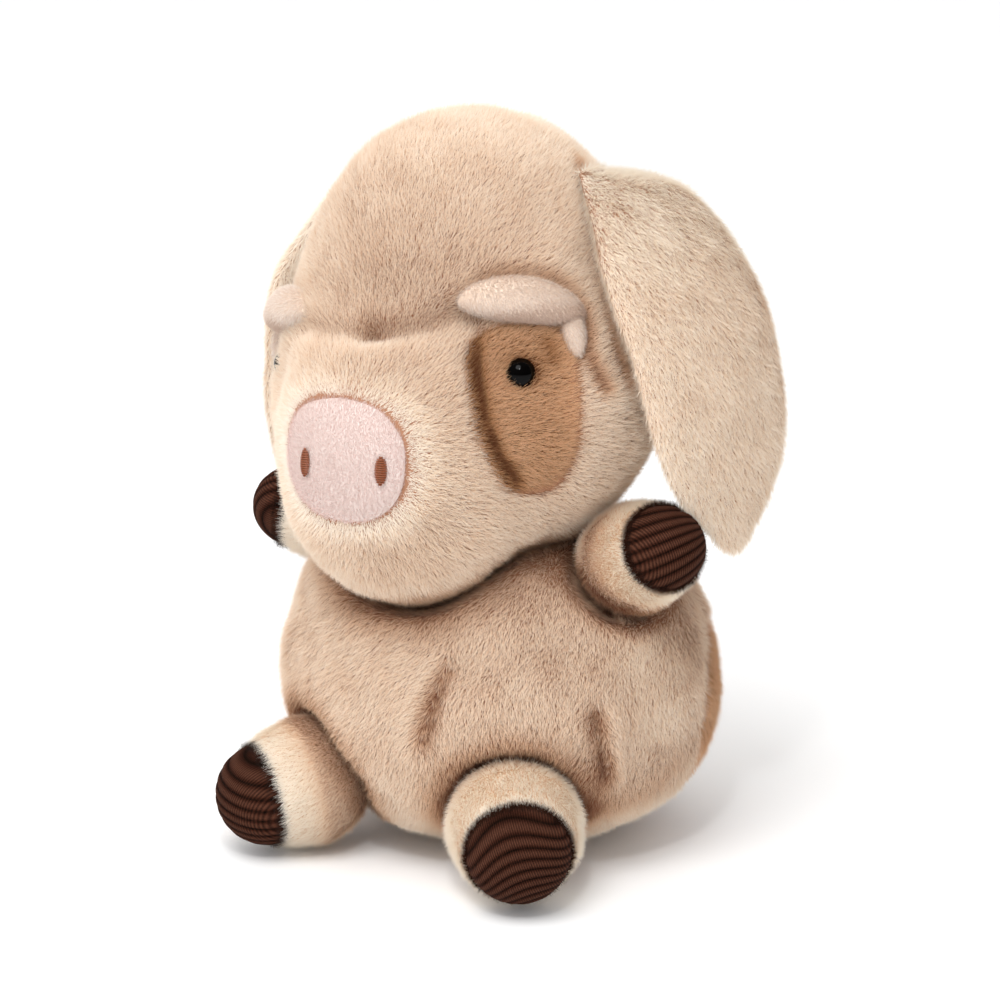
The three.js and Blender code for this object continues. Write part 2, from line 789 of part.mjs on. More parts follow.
// An ear in its root's frame: +X hangs outward, +Y runs along the sewn root, +Z is up. The front edge,
// on one side of Y, is cut straighter than the back one.
function earGeometry(side, rootDroop, inset, rootRun) {
  const rings = [];
  const bodyShares = Array.from({ length: earSteps }, (_, i) => (i * earTipShares[0]) / earSteps);
  const ringAt = (centre, droop, halfWidth, halfThickness, frontWidth = halfWidth) =>
    Array.from({ length: earSides }, (_, k) => {
      const angle = (2 * Math.PI * k) / earSides;
      const off = halfThickness * Math.sin(angle);
      const across = Math.cos(angle);
      return new THREE.Vector3(
        centre.x + off * Math.sin(droop),
        across * (side * across < 0 ? frontWidth : halfWidth),
        centre.z + off * Math.cos(droop),
      );
    });
  const droopAt = (t) => earTipDroop + (rootDroop - earTipDroop) * (1 - t) ** earBendPower;
  const startOf = (back) =>
    new THREE.Vector3(-back * Math.cos(rootDroop), 0, back * Math.sin(rootDroop));
  const rootWidth = earRootHalfWidth - inset;
  const rootThickness = earRootRadius - inset;
  const back = rootThickness + rootRun;
  for (const share of rootRun ? [1] : earRootCapShares) {
    const thin = rootRun ? 1 : Math.sqrt(1 - share * share);
    rings.push(ringAt(startOf(back * share), rootDroop, rootWidth, rootThickness * thin));
  }
  const centre = new THREE.Vector3();
  let before = 0;
  const moveTo = (place) => {
    const droop = droopAt((place + before) / 2);
    centre.x += (place - before) * earLength * Math.cos(droop);
    centre.z -= (place - before) * earLength * Math.sin(droop);
    before = place;
  };
  const endShare = 1 - inset / earLength;
  for (const t of [...bodyShares, ...earTipShares]) {
    moveTo(t * endShare);
    const closing = Math.sqrt(1 - t ** earEdgePower);
    const swell = Math.sin(Math.PI * t ** earSwellPower);
    const thick = earRootRadius + (earHalfThickness - earRootRadius) * swell;
    const halfWidth = Math.max(earHalfWidth * earWidthShare(t), earTipHalfWidth);
    const narrowing = Math.min((1 - t) / (1 - earFrontShare), 1);
    const frontLimit = earTipHalfWidth + (earHalfWidth - earTipHalfWidth) * narrowing;
    const frontWidth = Math.min(halfWidth, frontLimit) - inset;
    const thickness = (thick - inset) * closing;
    rings.push(ringAt(centre, droopAt(before), halfWidth - inset, thickness, frontWidth));
  }
  moveTo(endShare);
  return ringedGeometry(startOf(back), rings, centre);
}

// The sewn root's frame on the head: the hinge runs along its +Y.
function earFrame(side) {
  const seat = surfacePoint(crownForm, aim(side, earRootHeading, earRootPitch));
  const normal = surfaceNormal(crownForm, seat);
  const root = seat.addScaledVector(normal, earRootRadius - earRootSink);
  const out = aim(side, side > 0 ? leftEarHeading : rightEarHeading, 0);
  const along = new THREE.Vector3().crossVectors(up, out);
  return new THREE.Matrix4().makeBasis(out, along, up).setPosition(root);
}

function earGroove(side, clearance) {
  const radius = earRootRadius + clearance;
  const length = 2 * (earRootHalfWidth + movingGap);
  const roll = new THREE.CylinderGeometry(radius, radius, length, limbSides);
  return solidOf(roll, earFrame(side));
}

const earDroops = { left: leftEarDroop, right: rightEarDroop };

// An ear's cover and wadding. The root lies in its groove, and the rest stays off head and arms.
function earPieces(side, name) {
  const frame = earFrame(side);
  const offHead = crownSolid(-movingGap).subtract(earGroove(side, seamGap));
  const keepOff = arms.reduce((solid, limb) => solid.add(armSpace(limb, movingGap)), offHead);
  const at = (inset, rootRun) => solidOf(earGeometry(side, earDroops[name], inset, rootRun), frame);
  const cover = at(0, 0).subtract(at(earClothThickness, cutOverrun));
  const wadding = at(earClothThickness + earWaddingGap, 0);
  return {
    [`ear_shell_${name}`]: [largestPiece(cover.subtract(keepOff)), furMaterial],
    [`ear_wadding_${name}`]: [largestPiece(wadding.subtract(keepOff)), fibreMaterial],
  };
}

// The head's own pieces, in the head's frame
function headPieces() {
  const eyes = bothSides.map(({ side, name }) => ({ name, frame: eyeFrame(side) }));
  const neckOpening = diskSolid(
    neckOpeningRadius,
    -cutOverrun,
    cutOverrun,
    new THREE.Matrix4(),
  );
  const crownCloth = crownSolid(0).subtract(crownSolid(plushThickness, innerDetail));
  const muzzleCloth = muzzleSolid(0).subtract(muzzleSolid(plushThickness, innerDetail));
  const keepOff = crownSolid(-seamGap);
  const eyeCuts = eyes.map(({ frame }) => eyeClothCut(frame));
  const grooves = bothSides.map(({ side }) => earGroove(side, movingGap));
  const crownShell = [neckOpening, patchPrism(seamGap), ...eyeCuts, ...grooves].reduce(
    (solid, cut) => solid.subtract(cut),
    crownCloth,
  );
  const crownFilling = [...eyes.map(({ frame }) => eyeFillingCut(frame)), ...grooves].reduce(
    (solid, cut) => solid.subtract(cut),
    crownSolid(plushThickness + seamGap, innerDetail),
  );
  const muzzleFilling = muzzleSolid(plushThickness + seamGap, innerDetail).subtract(keepOff);
  const muzzleShell = muzzleCloth.subtract(keepOff).subtract(nosePrism(seamGap));
  const patch = crownCloth.intersect(patchPrism(0)).subtract(eyeCuts[0]);
  const pieces = {
    crown_shell: [largestPiece(crownShell), furMaterial],
    crown_filling: [largestPiece(crownFilling), fibreMaterial],
    muzzle_shell: [largestPiece(muzzleShell), furMaterial],
    muzzle_filling: [muzzleFilling, fibreMaterial],
    nose_pad: [muzzleCloth.intersect(nosePrism(0)), noseMaterial],
    left_eye_patch: [largestPiece(patch), tanMaterial],
  };
  for (const { name, frame } of eyes) {
    pieces[`eye_${name}`] = [eyeBead(frame), eyeMaterial];
    pieces[`eye_washer_${name}`] = [eyeWasher(frame), washerMaterial];
  }
  for (const { side, name } of bothSides) {
    pieces[`eyelid_${name}`] = [eyelid(side), lidMaterial];
    pieces[`nostril_${name}`] = [nostril(side), threadMaterial];
  }
  return pieces;
}

// Body

const limbs = [...arms, ...legs, tail];

// The body shrunk by an amount, with the hollow for the head and a dimple for each limb.
function bodySolid(inset, detail) {
  const grow = seamGap + inset;
  const cuts = [headSweep(grow, detail), ...limbs.map((limb) => limbSweep(limb, grow))];
  const solid = solidOf(swollenGeometry(bodyForm, detail, -inset));
  return cuts.reduce((left, cut) => left.subtract(cut), solid);
}

function backPatchPrism(grow) {
  const outward = aim(1, backPatchHeading, 0);
  const start = new THREE.Vector3(0, 0, backPatchHeight);
  const frame = frameAlong(surfacePoint(bodyForm, outward, 0, start), outward);
  const outline = roundOutline(
    backPatchHalfWidth,
    backPatchHalfHeight,
    backPatchHalfHeight,
    2,
    outlinePoints,
    grow,
  );
  return prismAlong(outline, frame, cutOverrun, cutOverrun);
}

function pelletBag(grow) {
  const bag = new THREE.IcosahedronGeometry(1, smallDetail);
  const flat = pelletBagHalfWidth + grow;
  bag.scale(flat, flat, pelletBagHalfHeight + grow);
  return solidOf(bag.translate(0, 0, pelletBagHeight));
}

function bodyPieces() {
  const inside = bodySolid(plushThickness, innerDetail);
  const stuffed = bodySolid(plushThickness + seamGap, innerDetail);
  const neckOpening = diskSolid(
    neckOpeningRadius,
    -neckOpeningDepth,
    cutOverrun,
    headFrame(),
  );
  const cloth = bodySolid(0, largeDetail).subtract(floorBlock()).subtract(inside);
  const shell = cloth.subtract(neckOpening).subtract(backPatchPrism(seamGap));
  return {
    body_shell: [largestPiece(shell), furMaterial],
    body_filling: [largestPiece(stuffed.subtract(pelletBag(seamGap))), fibreMaterial],
    pellet_bag: [stuffed.intersect(pelletBag(0)), pelletMaterial],
    back_patch: [largestPiece(cloth.intersect(backPatchPrism(0))), tanMaterial],
  };
}

// The scene graph: each group stands where its body turns

function groupIn(parent, name, matrix) {
  const group = new THREE.Group();
  group.name = name;
  group.applyMatrix4(matrix);
  parent.add(group);
  return group;
}

// Adds pieces that were made in a frame's coordinates to the group that stands in that frame.
function addPieces(group, pieces, frame = new THREE.Matrix4()) {
  const toGroup = frame.clone().invert();
  for (const [name, [solid, material]] of Object.entries(pieces)) {
    const geometry = geometryOf(solid).applyMatrix4(toGroup);
    geometry.computeVertexNormals();
    const mesh = new THREE.Mesh(geometry, material());
    mesh.name = name;
    group.add(mesh);
  }
}

const pig = new THREE.Group();
pig.name = "plush_pig";
addPieces(pig, bodyPieces());

const head = groupIn(pig, "head", headFrame());
addPieces(head, headPieces());
for (const { side, name } of bothSides) {
  const frame = earFrame(side);
  addPieces(groupIn(head, `ear_${name}`, frame), earPieces(side, name), frame);
}

for (const limb of [...arms, ...legs]) {
  const frame = new THREE.Matrix4().setPosition(limb.root);
  addPieces(groupIn(pig, limb.name, frame), limbPieces(limb), frame);
}

const tailFrame = new THREE.Matrix4().setPosition(tail.root);
const tailSolid = solidOf(turnedGeometry(tailProfile(), limbSides), limbFrame(tail));
addPieces(groupIn(pig, "tail", tailFrame), { tail_roll: [tailSolid, furMaterial] }, tailFrame);

export default pig;
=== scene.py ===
import bmesh
import bpy
import json
import math
import numpy as np
from mathutils import Matrix, Vector

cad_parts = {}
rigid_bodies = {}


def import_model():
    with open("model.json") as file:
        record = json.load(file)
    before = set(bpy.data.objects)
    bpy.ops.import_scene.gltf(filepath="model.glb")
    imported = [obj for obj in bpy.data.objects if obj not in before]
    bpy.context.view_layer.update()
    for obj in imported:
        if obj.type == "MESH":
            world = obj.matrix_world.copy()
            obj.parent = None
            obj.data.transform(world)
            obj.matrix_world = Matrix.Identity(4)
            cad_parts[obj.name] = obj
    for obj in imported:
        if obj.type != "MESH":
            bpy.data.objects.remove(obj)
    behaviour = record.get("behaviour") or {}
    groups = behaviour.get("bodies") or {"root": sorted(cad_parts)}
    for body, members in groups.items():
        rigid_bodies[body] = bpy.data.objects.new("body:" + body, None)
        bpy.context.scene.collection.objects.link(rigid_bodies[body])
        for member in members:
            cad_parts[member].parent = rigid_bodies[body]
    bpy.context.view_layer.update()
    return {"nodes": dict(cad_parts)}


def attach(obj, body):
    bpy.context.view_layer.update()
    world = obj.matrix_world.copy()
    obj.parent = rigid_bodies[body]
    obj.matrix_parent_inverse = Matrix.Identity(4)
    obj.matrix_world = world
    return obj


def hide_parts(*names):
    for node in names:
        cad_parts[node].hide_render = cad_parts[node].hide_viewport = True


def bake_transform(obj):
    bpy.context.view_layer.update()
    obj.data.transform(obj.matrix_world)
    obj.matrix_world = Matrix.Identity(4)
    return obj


for item in list(bpy.data.objects):
    bpy.data.objects.remove(item)
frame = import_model()


def report(stage):
    print("stage:", stage, flush=True)


def aim(side, heading, pitch=0.0):
    # a unit vector: heading in degrees from straight ahead toward one side, pitch above level
    h, p = math.radians(heading), math.radians(pitch)
    return np.array([side * math.sin(h) * math.cos(p), -math.cos(h) * math.cos(p), math.sin(p)])


# Camera: the photograph's place, long lens, level horizon

cameraPlace = {
    "azimuth": 35,
    "elevation": 16,
    "distance": 1.5,
    "target": (0, 0, 0.1353),
    "lens": 135,
    "sensor": 36,
}


def cameraAxes():
    a, e = math.radians(cameraPlace["azimuth"]), math.radians(cameraPlace["elevation"])
    back = aim(1, cameraPlace["azimuth"], cameraPlace["elevation"])
    right = np.array([math.cos(a), math.sin(a), 0])
    up = np.array([-math.sin(a) * math.sin(e), math.cos(a) * math.sin(e), math.cos(e)])
    return right, up, back


def makeCamera():
    data = bpy.data.cameras.new("productCamera")
    data.lens = cameraPlace["lens"]
    data.sensor_width = cameraPlace["sensor"]
    data.clip_start = 0.05
    data.clip_end = 50
    camera = bpy.data.objects.new("productCamera", data)
    bpy.context.scene.collection.objects.link(camera)
    right, up, back = cameraAxes()
    place = np.array(cameraPlace["target"]) + back * cameraPlace["distance"]
    rows = np.stack([right, up, back], axis=1)
    matrix = Matrix(rows.tolist()).to_4x4()
    matrix.translation = place.tolist()
    camera.matrix_world = matrix
    bpy.context.scene.camera = camera


makeCamera()
report("camera")

# Nodes: one helper for shader and geometry trees


def socketOf(sockets, key):
    if isinstance(key, int):
        return sockets[key]
    return next(s for s in sockets if s.name == key and s.enabled)


def addNode(tree, kind, settings=None, feeds=None):
    node = tree.nodes.new(kind)
    for name, value in (settings or {}).items():
        setattr(node, name, value)
    for key, value in (feeds or {}).items():
        socket = socketOf(node.inputs, key)
        if isinstance(value, bpy.types.NodeSocket):
            tree.links.new(value, socket)
        else:
            socket.default_value = value
    return node


def linear(hexColour, alpha=1):
    values = [int(hexColour[i : i + 2], 16) / 255 for i in (1, 3, 5)]
    return [v / 12.92 if v <= 0.04045 else ((v + 0.055) / 1.055) ** 2.4 for v in values] + [alpha]


# Stuffed forms, as fields that are negative inside. Lengths in metres.


def lobeField(points, centre, half, squareness=2.0):
    q = points - np.array(centre)
    flat = np.hypot(q[:, 0] / half[0], q[:, 1] / half[1])
    tall = np.abs(q[:, 2] / half[2])
    share = (flat**squareness + tall**squareness) ** (1 / squareness)
    return np.linalg.norm(q, axis=1) * (1 - 1 / np.maximum(share, 1e-4))


def joined(a, b, blend):
    h = np.clip(0.5 + (b - a) / (2 * blend), 0, 1)
    return a * h + b * (1 - h) - blend * h * (1 - h)


def cutBy(a, b, blend):
    return -joined(-a, b, blend)


def roundConeField(points, start, end, startRadius, endRadius):
    axis = np.array(end) - np.array(start)
    along = np.clip((points - start) @ axis / (axis @ axis), 0, 1)
    nearest = np.array(start) + along[:, None] * axis
    radius = startRadius + (endRadius - startRadius) * along
    return np.linalg.norm(points - nearest, axis=1) - radius


def moved(points, matrix):
    m = np.array(matrix)
    return points @ m[:3, :3].T + m[:3, 3]


bodyForm = {
    "hips": ((0, 0, 0.0555), (0.090, 0.081, 0.056), 2.3),
    "chest": ((0, 0, 0.0815), (0.086, 0.074, 0.052), 3.0),
    "blend": 0.020,
}
headForm = {
    "neck": (0, 0.014, 0.112),
    "lean": -7,
    "tip": 12,
    "skull": ((0, -0.012, 0.121), (0.063, 0.064, 0.060)),
    "cheeks": ((0, -0.028, 0.066), (0.084, 0.062, 0.062)),
    "blend": 0.040,
    "muzzle": ((0, -0.069, 0.054), (0.053, 0.046, 0.060)),
    "muzzleBlend": 0.012,
    "middle": (0, -0.045, 0.075),
    "heart": (0, -0.022, 0.090),  # eyes, lids and ears are placed along rays from here
}

lean = Matrix.Rotation(math.radians(headForm["lean"]), 4, "Y")
headMatrix = Matrix.Translation(headForm["neck"]) @ lean
tippedMatrix = headMatrix @ Matrix.Rotation(math.radians(-headForm["tip"]), 4, "X")
intoHead = headMatrix.inverted()
intoTipped = tippedMatrix.inverted()


def crownField(points):
    skull = lobeField(points, *headForm["skull"])
    cheeks = lobeField(points, *headForm["cheeks"])
    return joined(skull, cheeks, headForm["blend"])


def headField(points):
    muzzle = lobeField(points, *headForm["muzzle"])
    return joined(crownField(points), muzzle, headForm["muzzleBlend"])


def worldHeadField(points):
    return headField(moved(points, intoHead))


def plainBodyField(points):
    hips = lobeField(points, *bodyForm["hips"])
    chest = lobeField(points, *bodyForm["chest"])
    return joined(hips, chest, bodyForm["blend"])


def unit(vectors):
    v = np.asarray(vectors, dtype=float)
    return v / np.maximum(np.linalg.norm(v, axis=-1, keepdims=True), 1e-9)


armSizes = {
    "rootRadius": 0.023, "endRadius": 0.020, "reach": 0.022,
    "hoofRadius": 0.0165, "hoofLength": 0.017,
}
legSizes = {
    "rootRadius": 0.028, "endRadius": 0.0255, "reach": 0.017,
    "hoofRadius": 0.0205, "hoofLength": 0.020,
}
limbs = {
    "arm_left": {"root": (0.074, -0.015, 0.128), "axis": aim(1, 65, 24), **armSizes},
    "arm_right": {"root": (-0.074, -0.006, 0.118), "axis": aim(-1, 72, 6), **armSizes},
    "leg_left": {"root": (0.0529, -0.0653, 0.0275), "axis": aim(1, 39, -10.4), **legSizes},
    "leg_right": {"root": (-0.0457, -0.0704, 0.0275), "axis": aim(-1, 33, -10.4), **legSizes},
}
# along a limb's axis, as shares of its reach
limbShares = {"end": 0.8, "mouth": 1.12, "hoofStart": 0.7, "hollow": 1.5}
pressGap = 0.0006  # between covers that are pressed together
seamBlends = {"head": 0.004, "limb": 0.005, "mouth": 0.006, "cheek": 0.003}
floorGaps = {"cover": 0.0009, "hoof": 0.0004, "edge": 0.0006, "strand": 0.0003}


def sleeveField(points, limb):
    root = np.array(limb["root"])
    end = root + limb["axis"] * limb["reach"] * limbShares["end"]
    cone = roundConeField(points, root, end, limb["rootRadius"], limb["endRadius"])
    mouth = (points - root) @ limb["axis"] - limb["reach"] * limbShares["mouth"]
    return cutBy(cone, -mouth, seamBlends["mouth"])


def hoofField(points, limb):
    root, radius = np.array(limb["root"]), limb["hoofRadius"]
    start = root + limb["axis"] * (limb["reach"] * limbShares["hoofStart"])
    end = root + limb["axis"] * (limb["reach"] + max(limb["hoofLength"] - radius, 0))
    return roundConeField(points, start, end, radius, radius)


def limbField(name):
    limb = limbs[name]

    def field(points):
        value = sleeveField(points, limb)
        if name.startswith("arm"):
            value = cutBy(value, worldHeadField(points) - pressGap, seamBlends["cheek"])
        return value

    return field


def bodyField(points):
    # hollowed for the head at rest and tipped back, and dimpled for each limb
    value = plainBodyField(points)
    for head in (worldHeadField(points), crownField(moved(points, intoTipped))):
        value = cutBy(value, head - pressGap, seamBlends["head"])
    for limb in limbs.values():
        root = np.array(limb["root"])
        end = root + limb["axis"] * limb["reach"] * limbShares["hollow"]
        hollow = roundConeField(points, root, end, limb["rootRadius"], limb["endRadius"])
        value = cutBy(value, hollow - pressGap, seamBlends["limb"])
    return value


def radiiAlong(field, start, directions, far, steps=56):
    # how far each ray runs before it leaves the field: a walk to the first crossing, then halving
    count = len(directions)
    low, high = np.zeros(count), np.full(count, far)
    inside = np.ones(count, dtype=bool)
    places = np.linspace(0, far, steps)
    for k in range(1, steps):
        value = field(start + directions * places[k])
        crossing = inside & (value > 0)
        low[crossing], high[crossing] = places[k - 1], places[k]
        inside &= ~crossing
    for _ in range(16):
        middle = (low + high) / 2
        outside = field(start + directions * middle[:, None]) > 0
        high = np.where(outside, middle, high)
        low = np.where(outside, low, middle)
    return (low + high) / 2


def slopeOf(field, points, step=0.0008):
    # the way out of a field, from its change over a small step
    slopes = []
    for axis in range(3):
        offset = np.zeros(3)
        offset[axis] = step
        slopes.append(field(points + offset) - field(points - offset))
    return unit(np.stack(slopes, axis=1))


def onSurface(field, pixelX, pixelY, near=1.2, far=1.75):
    # the point of a surface that the photograph shows at a pixel, image taken as 1000 by 1000
    right, up, back = cameraAxes()
    focal = cameraPlace["lens"] / cameraPlace["sensor"] * 1000
    place = np.array(cameraPlace["target"]) + back * cameraPlace["distance"]
    ray = unit(-back * focal + right * (pixelX - 500) - up * (pixelY - 500))
    places = place + ray * np.linspace(near, far, 700)[:, None]
    value = field(places)
    hit = int(np.argmax(value < 0)) if (value < 0).any() else int(np.argmin(value))
    return places[hit]


# Shared meshes and attributes


def meshObject(name, points, faces, materials, smooth=True):
    mesh = bpy.data.meshes.new(name)
    mesh.from_pydata(np.asarray(points).tolist(), [], faces)
    for material in materials:
        mesh.materials.append(material)
    mesh.polygons.foreach_set("use_smooth", [smooth] * len(mesh.polygons))
    mesh.validate()
    made = bpy.data.objects.new(name, mesh)
    bpy.context.scene.collection.objects.link(made)
    return made


def setAttribute(mesh, name, values):
    values = np.asarray(values, dtype=np.float32)
    kind, key = ("FLOAT_VECTOR", "vector") if values.ndim == 2 else ("FLOAT", "value")
    attribute = mesh.attributes.new(name, kind, "POINT")
    attribute.data.foreach_set(key, values.ravel())


def getAttribute(mesh, name):
    attribute = mesh.attributes[name]
    values = np.zeros(len(attribute.data), dtype=np.float32)
    attribute.data.foreach_get("value", values)
    return values


def vectorsOf(items, key):
    values = np.zeros(len(items) * 3, dtype=np.float32)
    items.foreach_get(key, values)
    return values.reshape(-1, 3)


def smoothNoise(points, size, seed, octaves=2):
    # sums of waves in fixed random directions, about -1 to 1
    rng = np.random.default_rng(seed)
    total = np.zeros(len(points))
    for octave in range(octaves):
        for _ in range(7):
            direction = unit(rng.normal(size=3))
            phase = rng.uniform(0, 2 * math.pi)
            pitch = size / 2**octave * rng.uniform(0.8, 1.25)
            total += np.sin(points @ direction * 2 * math.pi / pitch + phase) / 2**octave
    return total / 5


def lineWeight(points, line, width):
    # 1 on a line of points, falling off with distance
    best = np.full(len(points), 1e9)
    for a, b in zip(line[:-1], line[1:]):
        run = b - a
        along = np.clip((points - a) @ run / (run @ run), 0, 1)
        best = np.minimum(best, np.linalg.norm(points - a - along[:, None] * run, axis=1))
    return np.exp(-((best / width) ** 2))


# Materials, each named for what it is made of


def newMaterial(name):
    material = bpy.data.materials.new(name)
    material.use_nodes = True
    tree = material.node_tree
    return material, tree, tree.nodes["Principled BSDF"]


def plainMaterial(name, colour, roughness, specular=0.3):
    material, _, shader = newMaterial(name)
    shader.inputs["Base Color"].default_value = linear(colour)
    shader.inputs["Roughness"].default_value = roughness
    shader.inputs["Specular IOR Level"].default_value = specular
    return material


def rampNode(tree, fac, stops):
    node = addNode(tree, "ShaderNodeValToRGB", {}, {"Fac": fac})
    elements = node.color_ramp.elements
    for i, (place, colour) in enumerate(stops):
        element = elements[i] if i < 2 else elements.new(place)
        element.position = place
        element.color = linear(colour)
    return node.outputs["Color"]


def pileMaterial(name, darkStrand, lightStrand, sheen=0.08):
    # across the map: from the darkest strand to the lightest. Up the map: from root to tip.
    material, tree, shader = newMaterial(name)
    place = addNode(tree, "ShaderNodeUVMap", {"uv_map": "OFBake"})
    parts = addNode(tree, "ShaderNodeSeparateXYZ", {}, {0: place.outputs["UV"]})
    dark = rampNode(tree, parts.outputs["Y"], darkStrand)
    light = rampNode(tree, parts.outputs["Y"], lightStrand)
    mixed = addNode(
        tree,
        "ShaderNodeMix",
        {"data_type": "RGBA"},
        {"Factor": parts.outputs["X"], "A": dark, "B": light},
    )
    colour = socketOf(mixed.outputs, "Result")
    tree.links.new(colour, shader.inputs["Base Color"])
    shader.inputs["Roughness"].default_value = 0.85
    shader.inputs["Specular IOR Level"].default_value = 0.05
    shader.inputs["Sheen Weight"].default_value = sheen
    shader.inputs["Sheen Roughness"].default_value = 0.5
    # light also comes through the fine fibres
    through = addNode(tree, "ShaderNodeBsdfTranslucent", {}, {"Color": colour})
    feeds = {0: 0.4, 1: shader.outputs[0], 2: through.outputs[0]}
    both = addNode(tree, "ShaderNodeMixShader", {}, feeds)
    tree.links.new(both.outputs[0], tree.nodes["Material Output"].inputs["Surface"])
    return material


# Pile: one tree of nodes grows strands on a backing


def mathOf(tree, operation, a, b=0.0, clamp=False):
    settings = {"operation": operation, "use_clamp": clamp}
    return addNode(tree, "ShaderNodeMath", settings, {0: a, 1: b}).outputs[0]


def vectorOf(tree, operation, a, b=None, scale=None):
    feeds = {0: a}
    if b is not None:
        feeds[1] = b
    if scale is not None:
        feeds["Scale"] = scale
    return addNode(tree, "ShaderNodeVectorMath", {"operation": operation}, feeds).outputs["Vector"]


def named(tree, name, kind="FLOAT"):
    node = addNode(tree, "GeometryNodeInputNamedAttribute", {"data_type": kind}, {"Name": name})
    return socketOf(node.outputs, "Attribute")


def stored(tree, geometry, name, value, domain="POINT"):
    settings = {"data_type": "FLOAT", "domain": domain}
    feeds = {"Geometry": geometry, "Name": name, "Value": value}
    return addNode(tree, "GeometryNodeStoreNamedAttribute", settings, feeds).outputs["Geometry"]


def newTree(name, inputs):
    tree = bpy.data.node_groups.new(name, "GeometryNodeTree")
    tree.interface.new_socket(name="Geometry", in_out="INPUT", socket_type="NodeSocketGeometry")
    for label, kind in inputs.items():
        tree.interface.new_socket(name=label, in_out="INPUT", socket_type="NodeSocket" + kind)
    tree.interface.new_socket(name="Geometry", in_out="OUTPUT", socket_type="NodeSocketGeometry")
    given = tree.nodes.new("NodeGroupInput")
    return tree, given.outputs, tree.nodes.new("NodeGroupOutput").inputs


def strandMesh(tree):
    # one pointed strand, a unit wide at its root and a unit long
    feeds = {"Vertices": 3, "Radius": 1.0}
    corners = addNode(tree, "GeometryNodeMeshCircle", {"fill_type": "NGON"}, feeds)
    place = addNode(tree, "GeometryNodeInputPosition").outputs[0]
    parts = addNode(tree, "ShaderNodeSeparateXYZ", {}, {0: place})
    along = mathOf(tree, "DIVIDE", mathOf(tree, "ADD", parts.outputs["X"], 0.5), 1.5)
    side = mathOf(tree, "DIVIDE", parts.outputs["Y"], math.sqrt(3))
    marked = stored(tree, corners.outputs["Mesh"], "along", along)
    # the side is stored above 1, so it also tells a strand from the backing
    marked = stored(tree, marked, "side", mathOf(tree, "ADD", side, 2.0))
    feeds = {"X": mathOf(tree, "SUBTRACT", named(tree, "side"), 2.0), "Z": named(tree, "along")}
    shape = addNode(tree, "ShaderNodeCombineXYZ", {}, feeds)
    bent = addNode(tree, "GeometryNodeSetPosition", {}, {"Geometry": marked, "Position": shape.outputs[0]})
    return bent.outputs["Geometry"]


strandLook = {
    "facing": 0.55,
    "shortest": 0.72,
    "longest": 1.16,
    "ownTone": 0.2,
    "middleTone": 0.61,
    "patchesPerMetre": 55.0,
}


